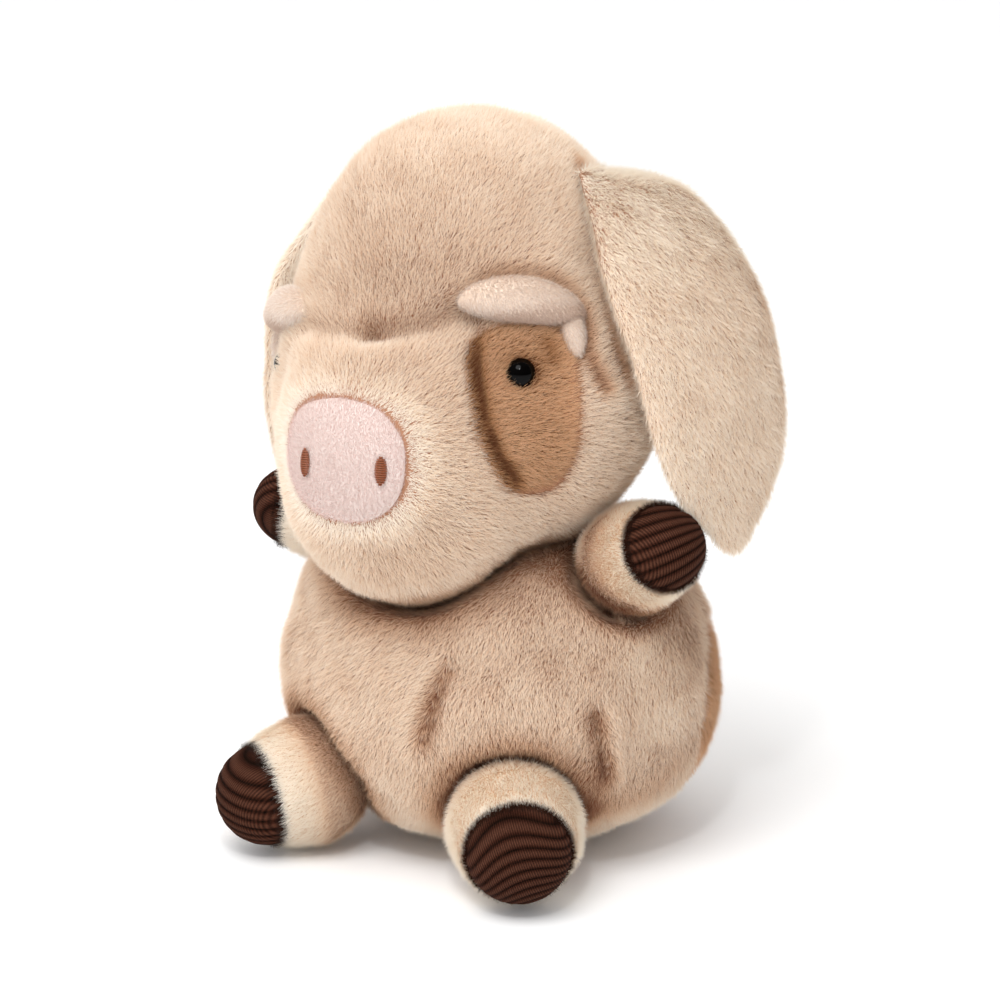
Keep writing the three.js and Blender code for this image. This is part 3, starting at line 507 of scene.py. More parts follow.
def makePileTree():
    labels = ["Density", "Width", "Clump Size", "Clump Pull", "Waver", "Waver Size", "Frizz", "Mottle"]
    inputs = {label: "Float" for label in labels}
    tree, given, out = newTree("pile", {**inputs, "Seed": "Int", "Material": "Material"})
    density = mathOf(tree, "MULTIPLY", given["Density"], named(tree, "pileDensity"))
    feeds = {"Mesh": given["Geometry"], "Density": density, "Seed": given["Seed"]}
    points = addNode(tree, "GeometryNodeDistributePointsOnFaces", {"distribute_method": "RANDOM"}, feeds)
    place = addNode(tree, "GeometryNodeInputPosition").outputs[0]
    # tips lean to the middle of their clump, waver together and stray a little
    perMetre = mathOf(tree, "DIVIDE", 1.0, given["Clump Size"])
    clumps = addNode(tree, "ShaderNodeTexVoronoi", {}, {"Vector": place, "Scale": perMetre})
    toCentre = vectorOf(tree, "SUBTRACT", socketOf(clumps.outputs, "Position"), place)
    pull = mathOf(tree, "MULTIPLY", perMetre, given["Clump Pull"])
    pulled = vectorOf(tree, "SCALE", toCentre, scale=pull)
    waves = mathOf(tree, "DIVIDE", 1.0, given["Waver Size"])
    noise = addNode(tree, "ShaderNodeTexNoise", {}, {"Vector": place, "Scale": waves, "Detail": 2.0})
    swayed = vectorOf(tree, "SUBTRACT", noise.outputs["Color"], (0.5, 0.5, 0.5))
    wavered = vectorOf(tree, "SCALE", swayed, scale=given["Waver"])
    feeds = {"Min": (-1.0, -1.0, -1.0), "Max": (1.0, 1.0, 1.0), "Seed": given["Seed"]}
    stray = addNode(tree, "FunctionNodeRandomValue", {"data_type": "FLOAT_VECTOR"}, feeds)
    strayed = vectorOf(tree, "SCALE", socketOf(stray.outputs, "Value"), scale=given["Frizz"])
    direction = vectorOf(tree, "ADD", named(tree, "comb", "FLOAT_VECTOR"), pulled)
    direction = vectorOf(tree, "ADD", direction, wavered)
    direction = vectorOf(tree, "ADD", direction, strayed)
    # each strand turns its face its own way
    facing = vectorOf(tree, "SCALE", socketOf(stray.outputs, "Value"), scale=strandLook["facing"])
    facing = vectorOf(tree, "ADD", named(tree, "skinNormal", "FLOAT_VECTOR"), facing)
    axes = {"primary_axis": "Z", "secondary_axis": "Y"}
    feeds = {"Primary Axis": direction, "Secondary Axis": facing}
    rotation = addNode(tree, "FunctionNodeAxesToRotation", axes, feeds)
    # and has its own length and tone
    feeds = {"Min": strandLook["shortest"], "Max": strandLook["longest"], "Seed": 3}
    uneven = addNode(tree, "FunctionNodeRandomValue", {"data_type": "FLOAT"}, feeds)
    length = mathOf(tree, "MULTIPLY", named(tree, "pileLength"), socketOf(uneven.outputs, "Value"))
    size = addNode(tree, "ShaderNodeCombineXYZ", {}, {"X": given["Width"], "Y": length, "Z": length})
    feeds = {"Min": -strandLook["ownTone"], "Max": strandLook["ownTone"], "Seed": 5}
    own = addNode(tree, "FunctionNodeRandomValue", {"data_type": "FLOAT"}, feeds)
    # the cloth is mottled in patches of about 18 mm
    feeds = {"Vector": place, "Scale": strandLook["patchesPerMetre"], "Detail": 3.0}
    patches = addNode(tree, "ShaderNodeTexNoise", {}, feeds)
    mottled = mathOf(tree, "SUBTRACT", patches.outputs[0], 0.5)
    mottled = mathOf(tree, "MULTIPLY", mottled, given["Mottle"])
    tone = mathOf(tree, "ADD", socketOf(own.outputs, "Value"), mottled)
    tone = mathOf(tree, "ADD", tone, strandLook["middleTone"])
    tone = mathOf(tree, "SUBTRACT", tone, named(tree, "shade"), clamp=True)
    marked = stored(tree, points.outputs["Points"], "tone", tone)
    feeds = {
        "Points": marked,
        "Instance": strandMesh(tree),
        "Rotation": rotation.outputs[0],
        "Scale": size.outputs[0],
    }
    strands = addNode(tree, "GeometryNodeInstanceOnPoints", {}, feeds)
    real = addNode(tree, "GeometryNodeRealizeInstances", {}, {"Geometry": strands.outputs[0]})
    feeds = {"Geometry": real.outputs[0], "Material": given["Material"]}
    covered = addNode(tree, "GeometryNodeSetMaterial", {}, feeds)
    both = addNode(tree, "GeometryNodeJoinGeometry")
    tree.links.new(covered.outputs[0], both.inputs[0])
    tree.links.new(given["Geometry"], both.inputs[0])
    tree.links.new(both.outputs[0], out["Geometry"])
    return tree


def throughTree(made, tree, values):
    # runs a tree on an object and leaves it a plain mesh
    modifier = made.modifiers.new(tree.name, "NODES")
    modifier.node_group = tree
    for item in tree.interface.items_tree:
        if item.name in values:
            modifier[item.identifier] = values[item.name]
    bpy.context.view_layer.update()
    graph = bpy.context.evaluated_depsgraph_get()
    mesh = bpy.data.meshes.new_from_object(made.evaluated_get(graph), depsgraph=graph)
    made.modifiers.clear()
    old = made.data
    made.data = mesh
    bpy.data.meshes.remove(old)
    return mesh


pileTree = makePileTree()
mapNames = ["along", "side", "tone", "shade"]
pileNames = ["comb", "skinNormal", "pileDensity", "pileLength", *mapNames]
# where strands lie on the map, and how far a full shade, or a paleness that is painted light on the ears
# and sleeves, moves them along it
pileMap = {
    "left": 0.03, "wide": 0.94, "strand": 0.012, "low": 0.08, "tall": 0.91,
    "dark": 0.82, "paleAndLit": 0.7,
}
backingMap = {"scale": (2, 0.08), "middle": (0.5, 0.03)}


def growPile(made, comb, lift, length, density, shade, settings):
    # comb is the lie of the pile and lift its tilt off the backing, in degrees. Shade darkens
    # toward the root colour, and a shade below zero makes it paler.
    mesh = made.data
    normals = vectorsOf(mesh.vertex_normals, "vector")
    lying = unit(comb - normals * np.sum(comb * normals, axis=1, keepdims=True))
    each = np.ones(len(lying))
    tilt = np.radians(lift) * each
    setAttribute(mesh, "comb", lying * np.cos(tilt)[:, None] + normals * np.sin(tilt)[:, None])
    setAttribute(mesh, "skinNormal", normals)
    for name, value in (("pileDensity", density), ("pileLength", length), ("shade", shade)):
        setAttribute(mesh, name, value * each)
    skinCount = len(mesh.polygons)
    mesh = throughTree(made, pileTree, settings)
    layPileMap(mesh)
    for name in pileNames:
        mesh.attributes.remove(mesh.attributes[name])
    places = vectorsOf(mesh.vertices, "co")
    places[:, 2] = np.maximum(places[:, 2], floorGaps["strand"])
    mesh.vertices.foreach_set("co", places.ravel())
    mesh.update()
    print("strands on", made.name + ":", len(mesh.polygons) - skinCount, flush=True)
    return made


def layPileMap(mesh):
    # strands share one map, by tone across and root to tip; the backing has a band of its own
    corners = np.zeros(len(mesh.loops), dtype=np.int32)
    mesh.loops.foreach_get("vertex_index", corners)
    along, side, tone, shade = (getAttribute(mesh, name)[corners] for name in mapNames)
    places = vectorsOf(mesh.vertices, "co")[corners]
    strand = side > 1
    across = pileMap["left"] + pileMap["wide"] * tone + pileMap["strand"] * (side - 2)
    # a shaded strand keeps more of its root colour, and one shaded below zero less
    paler = (1 - along) * pileMap["paleAndLit"] * np.clip(-shade, 0, 1)
    along = along * (1 - pileMap["dark"] * np.clip(shade, 0, 1)) + paler
    upward = pileMap["low"] + pileMap["tall"] * along
    scale, middle = backingMap["scale"], backingMap["middle"]
    u = np.where(strand, across, places[:, 0] * scale[0] + middle[0])
    v = np.where(strand, upward, middle[1] + places[:, 2] * scale[1])
    layer = mesh.uv_layers.get("OFBake") or mesh.uv_layers.new(name="OFBake")
    layer.data.foreach_set("uv", np.stack([u, v], axis=1).astype(np.float32).ravel())


def sphereDirections(subdivisions):
    ball = bmesh.new()
    bmesh.ops.create_icosphere(ball, subdivisions=subdivisions, radius=1)
    directions = np.array([tuple(v.co) for v in ball.verts])
    faces = [[v.index for v in f.verts] for f in ball.faces]
    ball.free()
    return unit(directions), faces


def starSkin(field, centre, subdivisions, far, inset):
    # a closed skin that lies a little inside a field's surface, seen from a point within
    directions, faces = sphereDirections(subdivisions)
    middle = np.array(centre, dtype=float)
    radii = radiiAlong(lambda p: field(p) + inset, middle, directions, far)
    return middle + directions * radii[:, None], faces


def frameAt(point, axis):
    # a frame on a seat: Z along the axis, X level
    z = unit(axis)
    x = unit(np.cross((0, 0, 1), z))
    rows = np.stack([x, np.cross(z, x), z], axis=1)
    matrix = Matrix(rows.tolist()).to_4x4()
    matrix.translation = list(point)
    return matrix


def seatOn(field, start, direction, grow=0.0):
    # where a ray leaves a field, and which way the surface faces there
    start, direction = np.array(start, dtype=float), unit(direction)
    reach = radiiAlong(lambda p: field(p) - grow, start, direction[None, :], 0.2)[0]
    seat = start + direction * reach
    return seat, slopeOf(field, seat[None, :])[0]


def ovalShare(across, upward, half, top, bottom, squareness=2.0):
    # below 1 inside an oval whose half heights differ
    tall = np.where(upward > 0, upward / top, -upward / bottom)
    return (np.abs(across / half) ** squareness + np.abs(tall) ** squareness) ** (1 / squareness)


def surfacePad(name, field, frameMatrix, outline, pad, materials, rings=26, sides=72):
    # a closed pad that follows a field's surface: its front is a little sunk and rolls in at the
    # edge, and its back is deeper
    z = np.array(frameMatrix.to_3x3() @ Vector((0, 0, 1)))
    angles = np.linspace(0, 2 * math.pi, sides, endpoint=False)
    edge = outline(angles)
    shares = np.linspace(0, 1, rings + 1)[1:]
    flat = np.concatenate([np.zeros((1, 2))] + [edge * share for share in shares])
    level = np.concatenate([[0.0], np.repeat(shares, sides)])
    base = np.column_stack([flat, np.full(len(flat), -0.035)])  # rays start inside the form
    start = moved(base, frameMatrix)
    rays = np.tile(z, (len(start), 1))
    reach = radiiAlong(field, start, rays, 0.08)
    surface = start + rays * reach[:, None]
    normals = slopeOf(field, surface)
    front = surface - normals * (pad["sunk"] + pad["roll"] * level ** pad["power"])[:, None]
    back = surface - normals * pad["depth"]
    count = len(front)
    faces = []
    for k in range(sides):
        n = (k + 1) % sides
        faces.append([0, 1 + k, 1 + n])
        faces.append([count, count + 1 + n, count + 1 + k])
        for r in range(rings - 1):
            a, b = 1 + r * sides, 1 + (r + 1) * sides
            faces.append([a + k, b + k, b + n, a + n])
            faces.append([count + a + k, count + a + n, count + b + n, count + b + k])
        rim = 1 + (rings - 1) * sides
        faces.append([rim + k, count + rim + k, count + rim + n, rim + n])
    made = meshObject(name, np.concatenate([front, back]), faces, materials)
    return made, np.concatenate([level, np.full(count, 2.0)])


report("helpers")

furMaterial = pileMaterial(
    "longPilePlush",  # cream tips over reddish roots, which show wherever the pile opens
    [(0.0, "#6e3b27"), (0.14, "#935c42"), (0.34, "#e2bd9c"), (0.7, "#f5dec4"), (1.0, "#fae8d2")],
    [(0.0, "#87533c"), (0.12, "#ad7c5e"), (0.32, "#f8e4cc"), (0.7, "#fff7ea"), (1.0, "#fffbf3")],
)
tanMaterial = pileMaterial(
    "tanPlush",  # the darker cloth of the eye patch and the back patch
    [(0.0, "#4c2817"), (0.14, "#6c4028"), (0.34, "#c29166"), (1.0, "#dbb088")],
    [(0.0, "#6c4029"), (0.14, "#98673f"), (0.32, "#e8be94"), (1.0, "#fde2c2")],
)
noseMaterial = pileMaterial(
    "pinkShortPile",  # a matt pink velvet
    [(0.0, "#e2c8c2"), (1.0, "#f0e0db")],
    [(0.0, "#ecdad5"), (1.0, "#fbf2f0")],
)
lidMaterial = pileMaterial(
    "creamShortPile",  # the palest cloth, on the lids
    [(0.0, "#c6aa98"), (1.0, "#efe2d6")],
    [(0.0, "#ecdccf"), (1.0, "#fffefa")],
)
edgeMaterial = pileMaterial(
    "corduroyEdgeFibre",  # frayed brown ends where each hoof is sewn in
    [(0.0, "#140804"), (1.0, "#341a10")],
    [(0.0, "#1e0e08"), (1.0, "#4a2a1c")],
)
# knitted and woven backings, dull cloth that shows between the strands
furBacking = plainMaterial("plushBacking", "#a87c62", 0.95, 0.1)
tanBacking = plainMaterial("tanBacking", "#74492f", 0.95, 0.1)
noseBacking = plainMaterial("velvetBacking", "#e6dad4", 0.9, 0.1)
lidBacking = plainMaterial("lidBacking", "#eedccb", 0.9, 0.1)
# painted light: the sleeves get a paler copy of the plush backing, so the gaps between their strands show
# less shade
litSleeveBacking = plainMaterial("litSleeveBacking", "#dab899", 0.95, 0.1)
edgeBacking = plainMaterial("hoofBacking", "#1c0c07", 0.9, 0.1)
# rayon floss, silky along each stitch
threadMaterial = plainMaterial("satinThread", "#8a4a28", 0.3, 0.6)
# polished acrylic, black with one small sharp glint
beadMaterial = plainMaterial("blackBead", "#020101", 0.07, 0.1)
# moulded polyethylene, a dull satin
washerMaterial = plainMaterial("washerPlastic", "#e8e8e2", 0.45, 0.4)

# strands for each square metre, and lengths in metres
longPile = {
    "Density": 5.2e6,
    "Width": 0.00027,
    "Clump Size": 0.0019,
    "Clump Pull": 0.16,
    "Waver": 1.0,
    "Waver Size": 0.012,
    "Frizz": 0.42,
    "Mottle": 0.55,
}
shortPile = {
    "Density": 7.0e6,
    "Width": 0.00023,
    "Clump Size": 0.0016,
    "Clump Pull": 0.2,
    "Waver": 0.5,
    "Waver Size": 0.012,
    "Frizz": 0.3,
    "Mottle": 0.5,
}
coverInset = 0.0027  # the backing lies this far inside the solid, and the pile fills it
pileLength = 0.0047
pileLift = 35


def nearTo(distance, reach):
    # 1 where another piece touches, and less further from it
    return np.exp(-((np.maximum(distance, 0) / reach) ** 2))


def inFrame(points, matrix):
    return moved(points, matrix.inverted())


def turned(vectors, matrix):
    return vectors @ np.array(matrix.to_3x3()).T


def photoLine(field, pixels):
    return [onSurface(field, x, y) for x, y in pixels]


def shadedBy(points, lines):
    # each line has its strength and its width
    return sum(strength * lineWeight(points, line, width) for line, strength, width in lines)


def opened(points, comb, lines, reach):
    # pile parts to both sides of each line
    right = cameraAxes()[0]
    for line in lines:
        middle = sum(line) / len(line)
        run = unit(line[-1] - line[0])
        across = unit(right - run * (right @ run))
        side = np.tanh((points - middle) @ across / 0.0015)  # -1 to 1 within 1.5 mm of the line
        comb = comb + across * (side * lineWeight(points, line, reach))[:, None] * 1.6
    return comb


def combedDown(points):
    # down, and away from the body's middle line
    return np.tile((0.0, 0.0, -1.0), (len(points), 1)) + points * (3.0, 3.0, 0.0)


def ovalEdge(half, top, bottom, squareness=2.0, grow=0.0):
    def outline(angles):
        c, s = np.cos(angles), np.sin(angles)
        tall = np.where(s > 0, top, bottom)
        x = np.sign(c) * np.abs(c) ** (2 / squareness) * (half + grow)
        y = np.sign(s) * np.abs(s) ** (2 / squareness) * (tall + grow)
        return np.stack([x, y], axis=1)

    return outline


bothSides = {"Left": 1, "Right": -1}  # the pig's own, with its left toward X

# Body

bodyCover = {
    "middle": (0, 0, 0.055),
    "lumpSize": 0.045,
    "lumpRise": 0.0012,
    "creaseDepth": 0.0034,
    "creaseWidth": 0.0031,
    "creaseShort": 0.3,  # this share of the pile's length is lost in a crease
    "creaseShade": (1.15, 0.9, 0.003),  # strength, unevenness and its size
    "openingWidth": 0.007,
    "sweep": 0.35,  # pile is combed sideways by this, and swirls about it
    "swirl": 0.55,
    "swirlSize": 0.07,
    "low": (0.003, 0.25),  # under this height the pile is this sparse, since it is sat on
    "headShade": (0.6, 0.010),  # strength and reach of the shade beside a neighbour
    "limbShade": {"arm": (0.8, 0.006), "leg": (1.1, 0.010)},
}
backForm = {"half": 0.034, "tall": 0.038, "heading": 120, "height": 0.052}
backPad = {"sunk": 0.0023, "roll": 0.0016, "power": 10, "depth": 0.0062}
backOut = aim(1, backForm["heading"])
backSeat, _ = seatOn(bodyField, (0, 0, backForm["height"]), backOut)
backFrame = frameAt(backSeat, backOut)


def backShare(points):
    q = inFrame(points, backFrame)
    inside = ovalShare(q[:, 0], q[:, 1], backForm["half"], backForm["tall"], backForm["tall"])
    return np.where(points @ backOut > 0, inside, 9.0)


bodyPartings = [
    photoLine(bodyField, [(447, 668), (436, 690), (428, 715), (420, 742)]),
    photoLine(bodyField, [(598, 712), (604, 740), (610, 778)]),
]
# the flank catches light under the arm, and the hip beside the left leg is in shadow
bodyShades = [
    (photoLine(bodyField, [(650, 655), (680, 700), (672, 740)]), -0.3, 0.016),
    (photoLine(bodyField, [(606, 806), (650, 790), (684, 752)]), 0.4, 0.010),
]
points, faces = starSkin(bodyField, bodyCover["middle"], 7, 0.16, coverInset)
parted = sum(lineWeight(points, line, bodyCover["creaseWidth"]) for line in bodyPartings)
relief = smoothNoise(points, bodyCover["lumpSize"], 4) * bodyCover["lumpRise"]
relief = relief - bodyCover["creaseDepth"] * parted
points = points + slopeOf(bodyField, points) * relief[:, None]
points[:, 2] = np.maximum(points[:, 2], floorGaps["cover"])
bodyPlush = meshObject("bodyPlush", points, faces, [furBacking])
comb = combedDown(points)
swirl = bodyCover["swirl"] * smoothNoise(points, bodyCover["swirlSize"], 8) - bodyCover["sweep"]
comb = comb + cameraAxes()[0] * swirl[:, None]
comb = opened(points, comb, bodyPartings, bodyCover["openingWidth"])
strength, uneven, size = bodyCover["creaseShade"]
shade = parted * (strength + uneven * smoothNoise(points, size, 6))
strength, reach = bodyCover["headShade"]
shade = shade + strength * nearTo(worldHeadField(points), reach)
for name, limb in limbs.items():
    strength, reach = bodyCover["limbShade"][name[:3]]
    shade = shade + strength * nearTo(sleeveField(points, limb), reach)
shade = shade + shadedBy(points, bodyShades)
lowHeight, sparse = bodyCover["low"]
density = np.where(points[:, 2] < lowHeight, sparse, 1.0)
density = np.where(backShare(points) < 1, 0.0, density)
lengths = pileLength * (1 - bodyCover["creaseShort"] * parted)
growPile(
    bodyPlush, comb, pileLift, lengths, density, np.minimum(shade, 1),
    {**longPile, "Seed": 11, "Material": furMaterial},
)
report("body")

backPatch, level = surfacePad(
    "backPatch", plainBodyField, backFrame,
    ovalEdge(backForm["half"], backForm["tall"], backForm["tall"], grow=0.0008),
    backPad, [tanBacking],
)
comb = combedDown(vectorsOf(backPatch.data.vertices, "co").astype(float))
growPile(
    backPatch, comb, pileLift, pileLength, np.where(level <= 1, 1.0, 0.0), 0.3 * (level > 0.93),
    {**longPile, "Seed": 12, "Material": tanMaterial},
)
report("back patch")

# Head: crown and muzzle under one cover, with a crease at the brow

headCover = {
    "lumpSize": 0.05,
    "lumpRise": 0.0012,
    "browDepth": 0.0075,
    "browWidth": 0.006,
    "patchDepth": 0.003,
    "lidDepth": 0.002,
    "seamWidth": 0.0035,
    "sideBrow": (0.5, 0.005),  # strength and width of the crease's fainter end
    "browShort": 0.35,  # these shares of the pile's length are lost in the crease
    "noseShort": 0.5,  # and at the nose
    "eyeShort": 0.45,  # and at the beads
    "nosePale": (1.0, 0.22),  # strength and width of the pale edge at the nose
    "chinShade": (0.7, 0.007),
    "bareShare": 0.6,  # no pile grows this near to a bead, as a share of its bare radius
}
beadForm = {
    "radius": 0.006,
    "heading": {"Left": 51.6, "Right": 62},
    "pitch": -2,
    "sunk": {"Left": 0.0040, "Right": 0.0063},
    "bare": {"Left": 0.010, "Right": 0.0042},  # the cover's pile thins inside this radius
}
noseForm = {"half": 0.029, "tall": 0.024, "rise": 0.007, "squareness": 2.4, "turn": -7}
nosePile = {"length": 0.0017, "lift": 52}
noseFront = {"sunk": 0.0009, "roll": 0.0014, "power": 8, "depth": 0.0066}
patchForm = {"half": 0.0215, "top": 0.0185, "bottom": 0.0455, "squareness": 2.5}
patchPile = {"length": 0.0048, "lift": 34, "eyeLift": 56, "eyeReach": 0.0070}
patchShades = {"edge": 0.2, "eye": (0.6, 0.0072), "seam": (1.6, 0.0028), "dimple": (0.8, 0.0035)}
patchPad = {"sunk": 0.0021, "roll": 0.002, "power": 12, "depth": 0.0062}

eyeSeats = {}
for name, side in bothSides.items():
    heading = aim(side, beadForm["heading"][name], beadForm["pitch"])
    eyeSeats[name] = frameAt(*seatOn(crownField, headForm["heart"], heading))
muzzleTip, _ = seatOn(headField, headForm["muzzle"][0], (0, -1, 0))
noseFrame = (
    frameAt(muzzleTip, (0, -1, 0))
    @ Matrix.Translation((0, noseForm["rise"], 0))
    @ Matrix.Rotation(math.radians(noseForm["turn"]), 4, "Z")
)
noseOval = (noseForm["half"], noseForm["tall"], noseForm["tall"], noseForm["squareness"])


def noseShare(points):
    q = inFrame(points, noseFrame)
    return np.where(points[:, 1] < -0.06, ovalShare(q[:, 0], q[:, 1], *noseOval), 9.0)


def patchShare(points):
    q = inFrame(points, eyeSeats["Left"])
    share = ovalShare(q[:, 0], q[:, 1], *patchForm.values())
    return np.where(q[:, 2] > -0.03, share, 9.0)


def headLine(pixels):
    return [moved(p[None, :], intoHead)[0] for p in photoLine(worldHeadField, pixels)]


browLine = headLine([(360, 327), (385, 327), (410, 325), (435, 321), (458, 316)])
sideBrow = headLine([(300, 328), (318, 331), (338, 330), (358, 328)])
lidLine = headLine(
    [(452, 306), (462, 295), (478, 283), (500, 276), (528, 275), (550, 280), (570, 291), (584, 311),
     (583, 352), (592, 371), (602, 388)]
)
lidFoot = headLine([(456, 312), (480, 328), (520, 331), (562, 328)])
earLine = headLine([(579, 160), (588, 195), (595, 240), (601, 289), (608, 319), (617, 356), (629, 385)])
dimple = headLine([(543, 345), (548, 358)])
noseLine = headLine([(303, 408), (293, 430), (289, 460), (293, 488), (305, 508), (326, 522), (348, 529)])
patchLine = headLine([(473, 332), (472, 362), (476, 395), (482, 425), (494, 457), (514, 486)])
headShades = [
    (sideBrow, 0.4, 0.003),
    (browLine, 1.3, 0.0026),
    (lidLine, 1.5, 0.0034),
    (lidFoot, 1.3, 0.0026),
    (earLine, 1.2, 0.0030),
    (patchLine, 1.5, 0.0030),
    (noseLine, 1.4, 0.0016),
]

points, faces = starSkin(headField, headForm["middle"], 7, 0.16, coverInset)
normals = slopeOf(headField, points)
browWeight = lineWeight(points, browLine, headCover["browWidth"])
strength, width = headCover["sideBrow"]
browWeight = browWeight + strength * lineWeight(points, sideBrow, width)
relief = smoothNoise(points, headCover["lumpSize"], 9) * headCover["lumpRise"]
relief = relief - headCover["browDepth"] * browWeight
relief = relief - headCover["patchDepth"] * lineWeight(points, patchLine, headCover["seamWidth"])
relief = relief - headCover["lidDepth"] * lineWeight(points, lidLine, headCover["seamWidth"])
points = points + normals * relief[:, None]
nose = np.array(noseFrame.translation)
share = noseShare(points)
eyeGap = np.ones(len(points))
for name, seat in eyeSeats.items():
    away = np.linalg.norm(points - np.array(seat.translation), axis=1)
    eyeGap = np.minimum(eyeGap, away / beadForm["bare"][name])
lengths = pileLength * (1 - headCover["browShort"] * browWeight)
lengths = lengths * np.clip((share - 0.85) / 0.4, 1 - headCover["noseShort"], 1)
lengths = lengths * np.clip(eyeGap, 1 - headCover["eyeShort"], 1)
# the cover is pale where it rolls in at the nose, and dark under the chin
strength, width = headCover["nosePale"]
dark = shadedBy(points, headShades) - strength * np.exp(-(((share - 1.0) / width) ** 2))
strength, reach = headCover["chinShade"]
dark = dark + strength * nearTo(plainBodyField(moved(points, headMatrix)), reach)
bare = (share < 1.0) | (patchShare(points) < 1.0) | (eyeGap < headCover["bareShare"])
headPlush = meshObject("headPlush", moved(points, headMatrix), faces, [furBacking])
growPile(
    headPlush, turned(points - nose, headMatrix), pileLift, lengths, np.where(bare, 0.0, 1.0),
    np.clip(dark, -1, 1), {**longPile, "Seed": 21, "Material": furMaterial},
)
report("head")


def headPad(name, frameMatrix, outline, pad, backing):
    # a pad on the head, and its points in the head's own frame
    made, level = surfacePad(name, headField, frameMatrix, outline, pad, [backing])
    local = vectorsOf(made.data.vertices, "co").astype(float)
    made.data.transform(headMatrix)
    return made, level, local


eyePatch, level, local = headPad(
    "eyePatch", eyeSeats["Left"], ovalEdge(*patchForm.values(), grow=0.0006), patchPad, tanBacking
)
away = np.linalg.norm(local - np.array(eyeSeats["Left"].translation), axis=1)
q = inFrame(local, eyeSeats["Left"])
# pile overhangs the bead from these sides and leaves a ragged lozenge of it bare
eyeSides = [(225, 0.0050), (312, 0.0050), (142, 0.0056), (70, 0.0048), (0, 0.0050)]
ways = [(math.cos(math.radians(a)), math.sin(math.radians(a)), reach) for a, reach in eyeSides]
beadShare = np.max([(q[:, 0] * c + q[:, 1] * s) / reach for c, s, reach in ways], axis=0)
strength, reach = patchShades["eye"]
patchShade = patchShades["edge"] * (level > 0.95) + strength * np.exp(-((away / reach) ** 4))
patchLines = [(patchLine, *patchShades["seam"]), (dimple, *patchShades["dimple"])]
patchShade = patchShade + shadedBy(local, patchLines)
growPile(
    eyePatch, turned(local - nose, headMatrix),
    np.where(away < patchPile["eyeReach"], patchPile["eyeLift"], patchPile["lift"]),
    patchPile["length"] * np.clip(away / 0.008, 0.8, 1),
    np.where((level <= 1) & (beadShare > 1), 1.0, 0.0), np.clip(patchShade, 0, 1),
    {**longPile, "Seed": 22, "Material": tanMaterial},
)

nosePad, level, _ = headPad("nosePad", noseFrame, ovalEdge(*noseOval), noseFront, noseBacking)
comb = np.tile((0.25, 0.0, 1.0), (len(level), 1))
growPile(
    nosePad, comb, nosePile["lift"], nosePile["length"], np.where(level <= 1, 1.0, 0.0),
    0.1 * (level > 0.9), {**shortPile, "Seed": 23, "Material": noseMaterial},
)
report("nose and patch")

# Nostrils: rows of satin stitches over a small mound

nostrilForm = {
    "place": (0.01725, -0.0018),  # across and up from the pad's middle
    "shift": 0.0035,
    "step": 0.0008,
    "turn": -7,
    "mound": (0.0019, 0.0051, 0.0010),
}
stitches = {
    "Height": 0.0108,
    "Width": 0.0045,
    "Thread": 0.00036,
    "Count": 13,
    "Material": threadMaterial,
}


def makeSatinTree():
    inputs = {"Height": "Float", "Width": "Float", "Thread": "Float", "Count": "Int"}
    tree, given, out = newTree("satin", {**inputs, "Material": "Material"})
    half = mathOf(tree, "MULTIPLY", given["Height"], 0.5)
    reach = mathOf(tree, "MULTIPLY", half, 0.97)
    start = addNode(tree, "ShaderNodeCombineXYZ", {}, {"Y": mathOf(tree, "MULTIPLY", reach, -1.0)})
    end = addNode(tree, "ShaderNodeCombineXYZ", {}, {"Y": reach})
    feeds = {"Count": given["Count"], "Start Location": start.outputs[0], "Offset": end.outputs[0]}
    line = addNode(tree, "GeometryNodeMeshLine", {"mode": "END_POINTS"}, feeds)
    feeds = {"Resolution": 8, "Start": (-0.5, 0, -0.1), "Middle": (0, 0, 0.75), "End": (0.5, 0, -0.1)}
    arc = addNode(tree, "GeometryNodeCurveQuadraticBezier", {}, feeds)
    feeds = {"Resolution": 6, "Radius": given["Thread"]}
    ring = addNode(tree, "GeometryNodeCurvePrimitiveCircle", {}, feeds)
    place = addNode(tree, "GeometryNodeInputPosition").outputs[0]
    parts = addNode(tree, "ShaderNodeSeparateXYZ", {}, {0: place})
    share = mathOf(tree, "DIVIDE", parts.outputs["Y"], half)
    squared = mathOf(tree, "MULTIPLY", share, share)
    wide = mathOf(tree, "SQRT", mathOf(tree, "SUBTRACT", 1.0, squared))
    wide = mathOf(tree, "MULTIPLY", wide, given["Width"])
    scale = addNode(tree, "ShaderNodeCombineXYZ", {}, {"X": wide, "Y": 1.0, "Z": wide})
    feeds = {"Points": line.outputs[0], "Instance": arc.outputs[0], "Scale": scale.outputs[0]}
    rows = addNode(tree, "GeometryNodeInstanceOnPoints", {}, feeds)
    real = addNode(tree, "GeometryNodeRealizeInstances", {}, {"Geometry": rows.outputs[0]})
    feeds = {"Curve": real.outputs[0], "Profile Curve": ring.outputs[0], "Fill Caps": True}
    solid = addNode(tree, "GeometryNodeCurveToMesh", {}, feeds)
    both = addNode(tree, "GeometryNodeJoinGeometry")
    tree.links.new(solid.outputs[0], both.inputs[0])
    tree.links.new(given["Geometry"], both.inputs[0])
    feeds = {"Geometry": both.outputs[0], "Material": given["Material"]}
    covered = addNode(tree, "GeometryNodeSetMaterial", {}, feeds)
    tree.links.new(covered.outputs[0], out["Geometry"])
    return tree


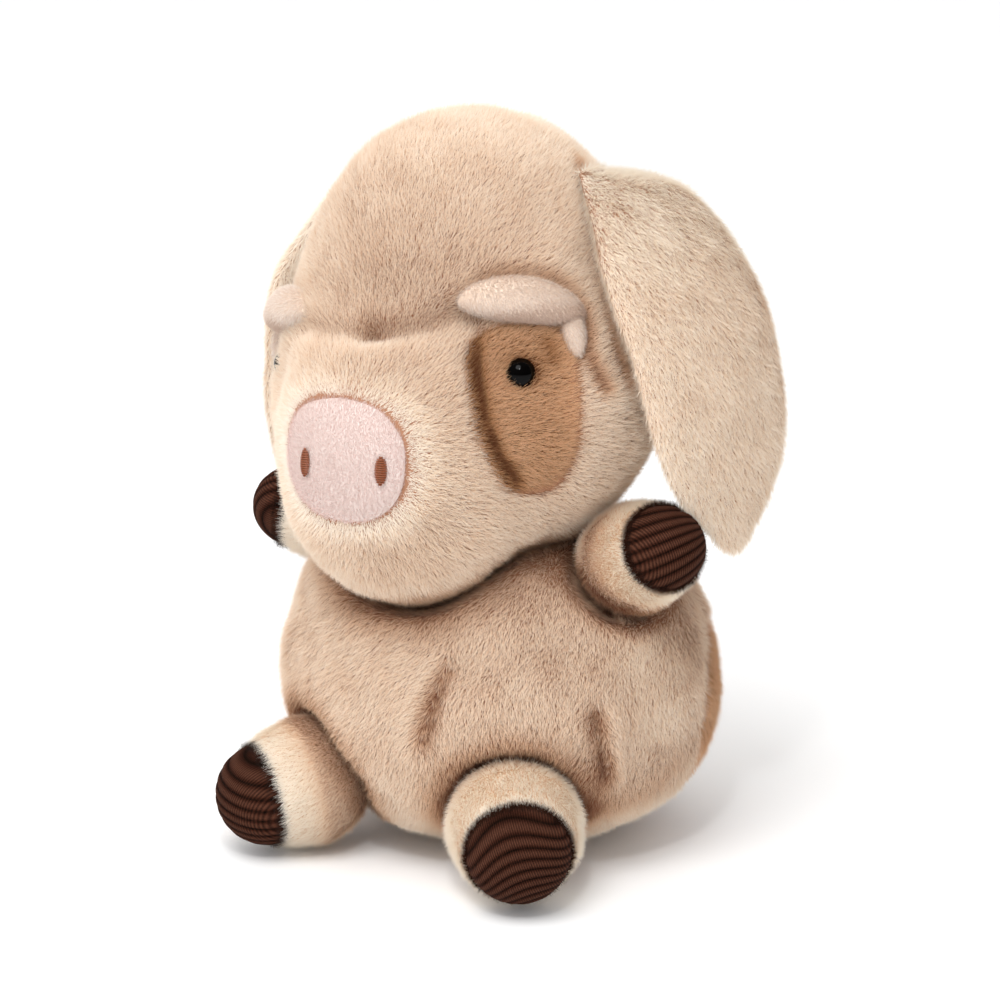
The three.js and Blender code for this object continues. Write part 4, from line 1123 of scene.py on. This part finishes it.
satinTree = makeSatinTree()
nostrils = {}
for name, side in bothSides.items():
    across = side * nostrilForm["place"][0] + nostrilForm["shift"]
    upward = nostrilForm["place"][1] + side * nostrilForm["step"]
    start = noseFrame @ Vector((across, upward, -0.046))
    seat, normal = seatOn(headField, start, (0, -1, 0), -0.0002)
    ball, ballFaces = sphereDirections(4)
    mound = meshObject("nostril" + name, ball * nostrilForm["mound"], ballFaces, [threadMaterial])
    throughTree(mound, satinTree, stitches)
    turn = Matrix.Rotation(math.radians(nostrilForm["turn"]), 4, "Z")
    mound.data.transform(headMatrix @ frameAt(seat, normal) @ turn)
    nostrils[name] = mound

# Eyes: round glossy beads

beads = {}
for name, seat in eyeSeats.items():
    ball, ballFaces = sphereDirections(5)
    bead = meshObject("eye" + name, ball * beadForm["radius"], ballFaces, [beadMaterial])
    sunk = Matrix.Translation((0, 0, -beadForm["sunk"][name]))
    bead.data.transform(headMatrix @ seat @ sunk)
    beads[name] = bead
report("nostrils and eyes")

# Lids: bowed rolls of short pile, with a small tab at the outer end

lidForm = {
    "heading": 56.5,
    "pitch": {"Left": 17.3, "Right": 13.5},
    "length": 0.0245,
    "top": 0.0108,
    "bottom": 0.0062,
    "deep": 0.0085,
    "roll": 14,
    "sag": 0.004,
    "tab": (0.0045, 0.0100, 0.0042),
    "tabPlace": (0.0178, -0.0112, -0.0040),
    "pile": 0.0021,
    "lift": 42,
    "lowerShade": 0.55,
}


def closedRings(rings, start, end):
    # a closed skin over rings of points, with one point at each end
    sides = len(rings[0])
    points = np.concatenate([[start], *rings, [end]])
    faces = []
    last = 1 + (len(rings) - 1) * sides
    for k in range(sides):
        n = (k + 1) % sides
        faces.append([0, 1 + n, 1 + k])
        faces.append([last + k, last + n, len(points) - 1])
        for r in range(len(rings) - 1):
            a, b = 1 + r * sides, 1 + (r + 1) * sides
            faces.append([a + k, a + n, b + n, b + k])
    return points, faces


def facingOut(points, faces):
    # turns the faces round where the skin would enclose a negative volume
    total = 0.0
    for face in faces:
        a, b, c = (points[i] for i in face[:3])
        total += np.dot(a, np.cross(b, c))
        if len(face) == 4:
            total += np.dot(points[face[0]], np.cross(points[face[2]], points[face[3]]))
    return faces if total > 0 else [face[::-1] for face in faces]


def lidRoll(side, rings=40, sides=36):
    t = -np.cos(np.linspace(0, math.pi, rings + 2)[1:-1])
    swell = (1 - t**2) ** 0.56
    length = lidForm["length"]
    centres = np.stack([t * length, 0 * t, -lidForm["sag"] * t**2 - 0.001], 1)
    angles = np.linspace(0, 2 * math.pi, sides, endpoint=False)
    rise = np.where(np.cos(angles) > 0, lidForm["top"], lidForm["bottom"]) * np.cos(angles)
    around = np.stack([0 * angles, rise, lidForm["deep"] * np.sin(angles)], axis=1)
    allRings = [centre + around * share for centre, share in zip(centres, swell)]
    points, faces = closedRings(allRings, (-length, 0, -0.005), (length, 0, -0.005))
    # its outer end hangs lower
    points = moved(points, Matrix.Rotation(math.radians(-side * lidForm["roll"]), 4, "Z"))
    return points, facingOut(points, faces)


lids = {}
for name, side in bothSides.items():
    heading = aim(side, lidForm["heading"], lidForm["pitch"][name])
    lidFrame = headMatrix @ frameAt(*seatOn(crownField, headForm["heart"], heading))
    rollPoints, rollFaces = lidRoll(side)
    ball, ballFaces = sphereDirections(5)
    tab = ball * lidForm["tab"] + np.array(lidForm["tabPlace"]) * (side, 1, 1)
    points = np.concatenate([rollPoints, tab])
    faces = rollFaces + [[i + len(rollPoints) for i in face] for face in ballFaces]
    lid = meshObject("lid" + name, points, faces, [lidBacking])
    lid.data.transform(lidFrame)
    comb = np.tile(tuple(lidFrame.to_3x3() @ Vector((0.4 * side, -1, 0))), (len(points), 1))
    # painted shade: the roll is darker and browner on its lower half, which faces away from the light
    shade = lidForm["lowerShade"] * np.clip(-rollPoints[:, 1] / 0.004, 0, 1)
    shade = np.concatenate([shade, np.zeros(len(tab))])
    growPile(
        lid, comb, lidForm["lift"], lidForm["pile"], 1.0, shade,
        {**shortPile, "Seed": 31, "Material": lidMaterial},
    )
    lids[name] = lid
report("lids")

# Ears: long flat covers that hang from the sewn roots

earForm = {
    "length": 0.167,
    "root": 0.022,
    "half": 0.0405,
    "tip": 0.020,
    "thick": 0.010,
    "rootRadius": 0.006,
    "heading": 114,
    "pitch": 46.5,
    "sink": 0.0025,
    "hang": {"Left": 80, "Right": 104},
    "droop": {"Left": 26, "Right": 41},
    "tipDroop": 92,
    "full": 0.42,
    "taper": 0.48,
    "front": 0.74,
    "inset": 0.0021,
    "cup": 0.003,
    "clear": {"crown": 0.0012, "arm": 0.001},  # the backing stays this far off them
    "lumpSize": 0.04,
    "lumpRise": 0.001,
    "bend": 0.035,  # the stretch from the seam to where the cover hangs free; its ends are found, but nothing here bends the cover over it
    "drawn": 0.14,  # this share of its length is drawn down to the crown
    "drawnGap": 0.002,  # and this near to it
    "paleAndLit": (0.3, 0.7, 0.4),  # painted light: how much paler, how much more at the root, and over which share of the length
    "lift": 30,
}


def earWidths(t):
    rootShare = earForm["root"] / earForm["half"]
    grown = rootShare + (1 - rootShare) * np.sin(math.pi / 2 * np.minimum(t / earForm["full"], 1))
    closed = np.maximum(t - earForm["taper"], 0) / (1 - earForm["taper"])
    back = np.maximum(earForm["half"] * grown * np.sqrt(np.maximum(1 - closed**2.8, 0)), earForm["tip"])
    narrowing = np.minimum((1 - t) / (1 - earForm["front"]), 1)
    front = np.minimum(back, earForm["tip"] + (earForm["half"] - earForm["tip"]) * narrowing)
    front = front * (0.72 + 0.28 * np.clip(t / 0.25, 0, 1))
    return front, back


def earSkin(side, name, rings=64, sides=48):
    # the skin, the way it runs, the share of its length at each point, and where it bends
    inset = earForm["inset"]
    heading = aim(side, earForm["heading"], earForm["pitch"])
    seat, normal = seatOn(crownField, headForm["heart"], heading)
    root = seat + normal * (earForm["rootRadius"] - earForm["sink"])
    out = aim(side, earForm["hang"][name])
    axes = np.stack([out, np.cross((0, 0, 1), out), (0, 0, 1)], axis=1)
    hanging = Matrix(axes.tolist()).to_4x4()
    hanging.translation = root.tolist()
    t = np.concatenate([np.linspace(0, 0.93, rings - 8), 1 - 0.07 * (1 - np.linspace(0.15, 1, 8)) ** 2])
    t = t[:-1]
    middle = (t + np.concatenate([[0], t[:-1]])) / 2
    rootDroop, tipDroop = earForm["droop"][name], earForm["tipDroop"]
    droop = np.radians(tipDroop + (rootDroop - tipDroop) * (1 - middle) ** 2)
    steps = np.diff(np.concatenate([[0], t])) * (earForm["length"] - inset)
    x, z = np.cumsum(steps * np.cos(droop)), -np.cumsum(steps * np.sin(droop))
    front, back = earWidths(t)
    closing = np.sqrt(np.maximum(1 - t**4, 0.004))
    rounding = np.sqrt(np.maximum(1 - t**11, 0.02))
    swell = np.sin(math.pi * t**0.7)
    thick = earForm["rootRadius"] + (earForm["thick"] - earForm["rootRadius"]) * swell
    angles = np.linspace(0, 2 * math.pi, sides, endpoint=False)
    across = np.cos(angles)
    allRings = []
    for i in range(len(t)):
        width = (np.where(side * across < 0, front[i], back[i]) - inset) * rounding[i]
        # cupped a little, so the edges curl toward the head
        off = (thick[i] - inset) * closing[i] * np.sin(angles) - earForm["cup"] * across**2 * swell[i]
        ring = [x[i] + off * math.sin(droop[i]), across * width, z[i] + off * math.cos(droop[i])]
        allRings.append(np.stack(ring, axis=1))
    start = allRings[0].mean(axis=0) + (-0.004, 0, 0.001)
    end = allRings[-1].mean(axis=0) + (0, 0, -0.0012)
    points, faces = closedRings(allRings, start, end)
    points = moved(points, hanging)
    tShare = np.concatenate([[0], np.repeat(t, sides), [1]])
    run = np.gradient(np.stack([x, 0 * x, z], 1), axis=0)
    run = np.concatenate([[run[0]], np.repeat(run, sides, axis=0), [run[-1]]])
    bend, fall = earForm["bend"], math.radians(rootDroop)
    free = hanging @ Vector((bend * math.cos(fall), 0, -bend * math.sin(fall)))
    ends = [tuple(headMatrix @ hanging.translation), tuple(headMatrix @ free)]
    return points, facingOut(points, faces), turned(run, hanging), tShare, ends


ears, earBends = {}, {}
for name, side in bothSides.items():
    points, faces, comb, tShare, earBends[name] = earSkin(side, name)
    depth = np.maximum(earForm["clear"]["crown"] - crownField(points), 0)
    points = points + slopeOf(crownField, points) * depth[:, None]
    # drawn down to the crown along the seam
    drawn = np.clip(1 - tShare / earForm["drawn"], 0, 1) ** 2
    drawn = np.maximum(crownField(points) - earForm["drawnGap"], 0) * drawn
    points = points - slopeOf(crownField, points) * drawn[:, None]
    lumps = smoothNoise(points, earForm["lumpSize"], 5 + side) * earForm["lumpRise"]
    points = points + unit(points - points.mean(axis=0)) * lumps[:, None]
    world = moved(points, headMatrix)
    for limbName in ("arm_left", "arm_right"):
        for field in (sleeveField, hoofField):
            depth = np.maximum(earForm["clear"]["arm"] - field(world, limbs[limbName]), 0)
            world = world + slopeOf(lambda p: field(p, limbs[limbName]), world) * depth[:, None]
    ear = meshObject("ear" + name, world, faces, [furBacking])
    density = np.where(crownField(points) < -0.0005, 0.15, 1.0)
    # painted light: the ear is painted paler, most near its root, which would otherwise render in the
    # crown's shade
    paleAndLit, more, share = earForm["paleAndLit"]
    shade = -paleAndLit - more * np.clip(1 - tShare / share, 0, 1)
    growPile(
        ear, turned(comb, headMatrix), earForm["lift"], pileLength, density, shade,
        {**longPile, "Seed": 41 + side, "Material": furMaterial},
    )
    ears[name] = ear
report("ears")

# Arms and legs: short stuffed sleeves with corduroy hooves


def makeRibTree():
    tree, given, out = newTree("ribs", {"Height": "Float"})
    phase = mathOf(tree, "MULTIPLY", named(tree, "ribPhase"), math.pi)
    wave = mathOf(tree, "ABSOLUTE", mathOf(tree, "SINE", phase))
    ridge = mathOf(tree, "POWER", wave, 0.45)
    marked = stored(tree, given["Geometry"], "ridge", ridge)
    raised = mathOf(tree, "MULTIPLY", mathOf(tree, "SUBTRACT", ridge, 1.0), given["Height"])
    normal = addNode(tree, "GeometryNodeInputNormal").outputs[0]
    offset = vectorOf(tree, "SCALE", normal, scale=raised)
    ribbed = addNode(tree, "GeometryNodeSetPosition", {}, {"Geometry": marked, "Offset": offset})
    tree.links.new(ribbed.outputs[0], out["Geometry"])
    return tree


ribs = {"pitch": 0.0042, "height": 0.0007, "weftPitch": 0.0009, "start": 0.35}
cheekGap = 0.0012
limbLook = {  # the ribs' turn in degrees and bend, the painted shade at the body, and how far up painted light makes it pale
    "arm_left": {"tilt": 12, "bend": 0, "rootShade": 0.9, "paintedLightFrom": 0.0},
    "arm_right": {"tilt": 75, "bend": 0, "rootShade": 0.1, "paintedLightFrom": 0.2},
    "leg_left": {"tilt": 20, "bend": 33, "rootShade": 0.0, "paintedLightFrom": 1.0},
    "leg_right": {"tilt": -12, "bend": 6, "rootShade": 0.4, "paintedLightFrom": 0.15},
}
sleevePile = {"length": 0.0045, "lift": 28, "Mottle": 0.25}
edgePile = {"length": 0.0034, "lift": 46}
edgeStrands = {"Density": 8.0e6, "Width": 0.0002, "Waver": 0.7}
edgeBand = [(0.97, -0.0005), (0.975, 0.0012), (0.94, 0.003)]  # share of the hoof's radius, height


def makeCorduroy():
    # painted shade darkens the grooves, and a nap catches light in small ribs across each wale
    material, tree, shader = newMaterial("corduroy")
    ridge = addNode(tree, "ShaderNodeAttribute", {"attribute_name": "ridge"}).outputs["Fac"]
    weft = addNode(tree, "ShaderNodeAttribute", {"attribute_name": "weft"}).outputs["Fac"]
    weft = mathOf(tree, "MULTIPLY", weft, 2 * math.pi / ribs["weftPitch"])
    weft = mathOf(tree, "ADD", mathOf(tree, "MULTIPLY", mathOf(tree, "SINE", weft), 0.5), 0.5)
    colour = rampNode(tree, ridge, [(0.3, "#160904"), (0.75, "#331a11"), (1.0, "#472b20")])
    place = addNode(tree, "ShaderNodeTexCoord").outputs["Object"]
    speckle = addNode(tree, "ShaderNodeTexNoise", {}, {"Vector": place, "Scale": 1600.0, "Detail": 2.0})
    light = mathOf(tree, "MULTIPLY", weft, 0.9)
    light = mathOf(tree, "ADD", light, mathOf(tree, "MULTIPLY", speckle.outputs[0], 1.1))
    light = mathOf(tree, "ADD", light, 0.1)
    varied = vectorOf(tree, "SCALE", colour, scale=light)
    tree.links.new(varied, shader.inputs["Base Color"])
    shader.inputs["Roughness"].default_value = 0.9
    shader.inputs["Specular IOR Level"].default_value = 0.05
    bump = addNode(tree, "ShaderNodeBump", {}, {"Strength": 0.8, "Distance": 0.0004, "Height": weft})
    tree.links.new(bump.outputs["Normal"], shader.inputs["Normal"])
    return material


ribTree = makeRibTree()
corduroy = makeCorduroy()


def limbFrame(limb):
    return frameAt(limb["root"], limb["axis"])


def circleOf(sides):
    angles = np.linspace(0, 2 * math.pi, sides, endpoint=False)
    return np.stack([np.cos(angles), np.sin(angles), 0 * angles], axis=1)


def makeSleeve(name, label, limb, seed):
    look = limbLook[name]
    points, faces = starSkin(limbField(name), limb["root"], 6, 0.07, coverInset)
    points[:, 2] = np.maximum(points[:, 2], floorGaps["cover"])
    q = inFrame(points, limbFrame(limb))
    wide = np.hypot(q[:, 0], q[:, 1])
    # no pile where the hoof caps the sleeve, nor deep in the body
    capped = (q[:, 2] > limb["reach"] * limbShares["end"]) & (wide < limb["hoofRadius"] - 0.0012)
    buried = plainBodyField(points) < -0.008
    density = np.where(capped | buried, 0.0, np.where(points[:, 2] < 0.002, 0.3, 1.0))
    sleeve = meshObject(label, points, faces, [litSleeveBacking])
    # painted shade at the body, and painted light that makes it palest round the hoof
    shade = look["rootShade"] * nearTo(plainBodyField(points), 0.004)
    shade = shade - 0.9 * np.clip(q[:, 2] / limb["reach"] * 1.6 + look["paintedLightFrom"], 0, 1)
    comb = np.tile(limb["axis"], (len(points), 1)) + (0, 0, -0.25)
    strands = {**longPile, "Mottle": sleevePile["Mottle"], "Seed": seed, "Material": furMaterial}
    return growPile(sleeve, comb, sleevePile["lift"], sleevePile["length"], density, shade, strands)


def hoofSkin(limb, sides=144, rings=60):
    # a dome on a short neck that runs up into the sleeve
    radius, height, base = limb["hoofRadius"], limb["hoofLength"], limb["reach"]
    rise = np.linspace(0, math.pi / 2, rings + 1)[:-1]
    level = np.concatenate([[base - 0.005, base - 0.0025], base + height * np.sin(rise)])
    wide = np.concatenate([[radius * 0.93, radius * 0.98], radius * np.cos(rise)])
    allRings = [circleOf(sides) * w + (0, 0, z) for w, z in zip(wide, level)]
    points, faces = closedRings(allRings, (0, 0, base - 0.005), (0, 0, base + height))
    return points, facingOut(points, faces)


def makeHoof(name, label, limb):
    look = limbLook[name]
    points, faces = hoofSkin(limb)
    tilt = math.radians(look["tilt"])
    across = points[:, 1] * math.cos(tilt) - points[:, 0] * math.sin(tilt)
    weft = points[:, 0] * math.cos(tilt) + points[:, 1] * math.sin(tilt)
    ribPlace = across + look["bend"] * weft**2
    if name == "arm_left":
        # these ribs run together toward one side
        drawn = np.clip((weft / limb["hoofRadius"] + 1) / 2, 0, 1)
        ribPlace = across / np.sqrt(np.maximum(1.04 - drawn**2, 0.06))
    points = moved(points, limbFrame(limb))
    if name.startswith("arm"):
        intoCheek = np.maximum(cheekGap - worldHeadField(points), 0)
        points = points + slopeOf(worldHeadField, points) * intoCheek[:, None]
    points[:, 2] = np.maximum(points[:, 2], floorGaps["hoof"])
    hoof = meshObject(label + "Hoof", points, faces, [corduroy])
    setAttribute(hoof.data, "ribPhase", ribPlace / ribs["pitch"] + ribs["start"])
    setAttribute(hoof.data, "weft", weft)
    throughTree(hoof, ribTree, {"Height": ribs["height"]})
    return hoof


def makeHoofEdge(label, limb):
    # frayed ends, on a hidden band just inside the hoof
    base, circle = limb["reach"], circleOf(72) * limb["hoofRadius"]
    band = [circle * share + (0, 0, base + z) for share, z in edgeBand]
    ends = [(0, 0, base + edgeBand[0][1]), (0, 0, base + edgeBand[-1][1])]
    points, faces = closedRings(band, *ends)
    faces = facingOut(points, faces)
    points = moved(points, limbFrame(limb))
    points[:, 2] = np.maximum(points[:, 2], floorGaps["edge"])
    edge = meshObject(label + "HoofEdge", points, faces, [edgeBacking])
    onBand = np.concatenate([[0], np.ones(len(points) - 2), [0]])
    comb = np.tile(-limb["axis"], (len(points), 1))
    strands = {**longPile, **edgeStrands, "Seed": 60, "Material": edgeMaterial}
    return growPile(edge, comb, edgePile["lift"], edgePile["length"], onBand, 0.0, strands)


sleeves, hooves, hoofEdges = {}, {}, {}
for name, limb in limbs.items():
    kind, side = name.split("_")
    label = kind + side.title()
    sleeves[name] = makeSleeve(name, label, limb, 50 + len(sleeves))
    hooves[name] = makeHoof(name, label, limb)
    hoofEdges[name] = makeHoofEdge(label, limb)
report("arms and legs")

# Tail: a short roll

tailForm = {
    "root": (0, 0.0837, 0.044),
    "axis": aim(1, 180, 30),
    "radius": 0.008,
    "end": 0.005,
    "reach": 0.024,
    "inset": 0.0022,
    "pile": 0.0055,
    "lift": 34,
}
tailTip = np.array(tailForm["root"]) + tailForm["axis"] * tailForm["reach"]
points, faces = starSkin(
    lambda p: roundConeField(p, tailForm["root"], tailTip, tailForm["radius"], tailForm["end"]),
    tailForm["root"], 5, 0.05, tailForm["inset"],
)
tailRoll = meshObject("tailRoll", points, faces, [furBacking])
comb = np.tile(tailForm["axis"], (len(points), 1))
growPile(
    tailRoll, comb, tailForm["lift"], tailForm["pile"], 1.0, 0.0,
    {**longPile, "Seed": 71, "Material": furMaterial},
)
report("tail")

# Floor, backdrop and soft studio light

studio = {"floor": 6.0, "level": 1.0, "mirrored": 0.25, "lean": (-0.29, -0.20, 0.42)}
lights = {
    "key": {"azimuth": 12, "elevation": 58, "distance": 1.6, "size": 0.9, "power": 11},
    "glint": {"azimuth": 30, "elevation": 46, "distance": 1.3, "size": 0.11, "power": 2.0},
}


def makeFloor():
    mesh = bpy.data.meshes.new("floor")
    size = studio["floor"]
    corners = [(-size, -size, 0), (size, -size, 0), (size, size, 0), (-size, size, 0)]
    mesh.from_pydata(corners, [], [(0, 1, 2, 3)])
    mesh.materials.append(plainMaterial("whiteSweep", "#ffffff", 0.9, 0.1))
    floor = bpy.data.objects.new("floor", mesh)
    bpy.context.scene.collection.objects.link(floor)


def areaLight(name, azimuth, elevation, distance, size, power):
    data = bpy.data.lights.new(name, "AREA")
    data.shape = "DISK"
    data.size = size
    data.energy = power
    light = bpy.data.objects.new(name, data)
    bpy.context.scene.collection.objects.link(light)
    out = Vector(aim(1, azimuth, elevation))
    light.location = Vector((0, 0, 0.13)) + out * distance
    light.rotation_euler = out.to_track_quat("Z", "Y").to_euler()


def makeWorld(lightLevel, mirrored, skyLean):
    world = bpy.data.worlds.new("studio")
    bpy.context.scene.world = world
    world.use_nodes = True
    tree = world.node_tree
    tree.nodes.clear()
    paths = addNode(tree, "ShaderNodeLightPath")
    # glossy pieces mirror a dimmer room than the white one behind the object
    dimmed = mathOf(tree, "MULTIPLY", paths.outputs["Is Glossy Ray"], lightLevel - mirrored)
    level = mathOf(tree, "SUBTRACT", lightLevel, dimmed)
    # brighter from above and from the camera's left, with the same sum on the floor
    way = addNode(tree, "ShaderNodeTexCoord").outputs["Generated"]
    lean = addNode(tree, "ShaderNodeVectorMath", {"operation": "DOT_PRODUCT"}, {0: way, 1: skyLean})
    lean = mathOf(tree, "ADD", lean.outputs["Value"], -skyLean[2] * 2 / 3)
    unseen = mathOf(tree, "SUBTRACT", 1.0, paths.outputs["Is Camera Ray"])
    lean = mathOf(tree, "ADD", mathOf(tree, "MULTIPLY", lean, unseen), 1.0)
    level = mathOf(tree, "MULTIPLY", level, lean)
    shader = addNode(tree, "ShaderNodeBackground", {}, {"Color": (1, 1, 1, 1), "Strength": level})
    addNode(tree, "ShaderNodeOutputWorld", {}, {"Surface": shader.outputs[0]})


makeFloor()
makeWorld(studio["level"], studio["mirrored"], studio["lean"])
for name, values in lights.items():
    areaLight(name, **values)
bpy.context.scene.view_settings.view_transform = "Standard"
report("stage")

# The frame: what each piece stands for and rides on, and the washers' finish


def fitPiece(made, body, nodes, bend=None):
    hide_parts(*nodes)
    if bend is None:
        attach(made, body)
    else:
        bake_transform(made)


fitPiece(bodyPlush, "body", ["body_shell", "body_filling", "pellet_bag"])
fitPiece(backPatch, "body", ["back_patch"])
headNodes = ["crown_shell", "crown_filling", "muzzle_shell", "muzzle_filling"]
fitPiece(headPlush, "head", headNodes)
fitPiece(eyePatch, "head", ["left_eye_patch"])
fitPiece(nosePad, "head", ["nose_pad"])
for name in bothSides:
    side = name.lower()
    fitPiece(lids[name], "head", ["eyelid_" + side])
    fitPiece(nostrils[name], "head", ["nostril_" + side])
    fitPiece(beads[name], "head", ["eye_" + side])
    earNodes = ["ear_shell_" + side, "ear_wadding_" + side]
    fitPiece(ears[name], "ear_" + side, earNodes, earBends[name])
    washer = frame["nodes"]["eye_washer_" + side]
    washer.data.materials.clear()
    washer.data.materials.append(washerMaterial)
for name in limbs:
    fitPiece(sleeves[name], name, [name + "_shell", name + "_filling"])
    fitPiece(hooves[name], name, [name + "_hoof"])
    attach(hoofEdges[name], name)
fitPiece(tailRoll, "tail", ["tail_roll"])

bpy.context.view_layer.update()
report("done")
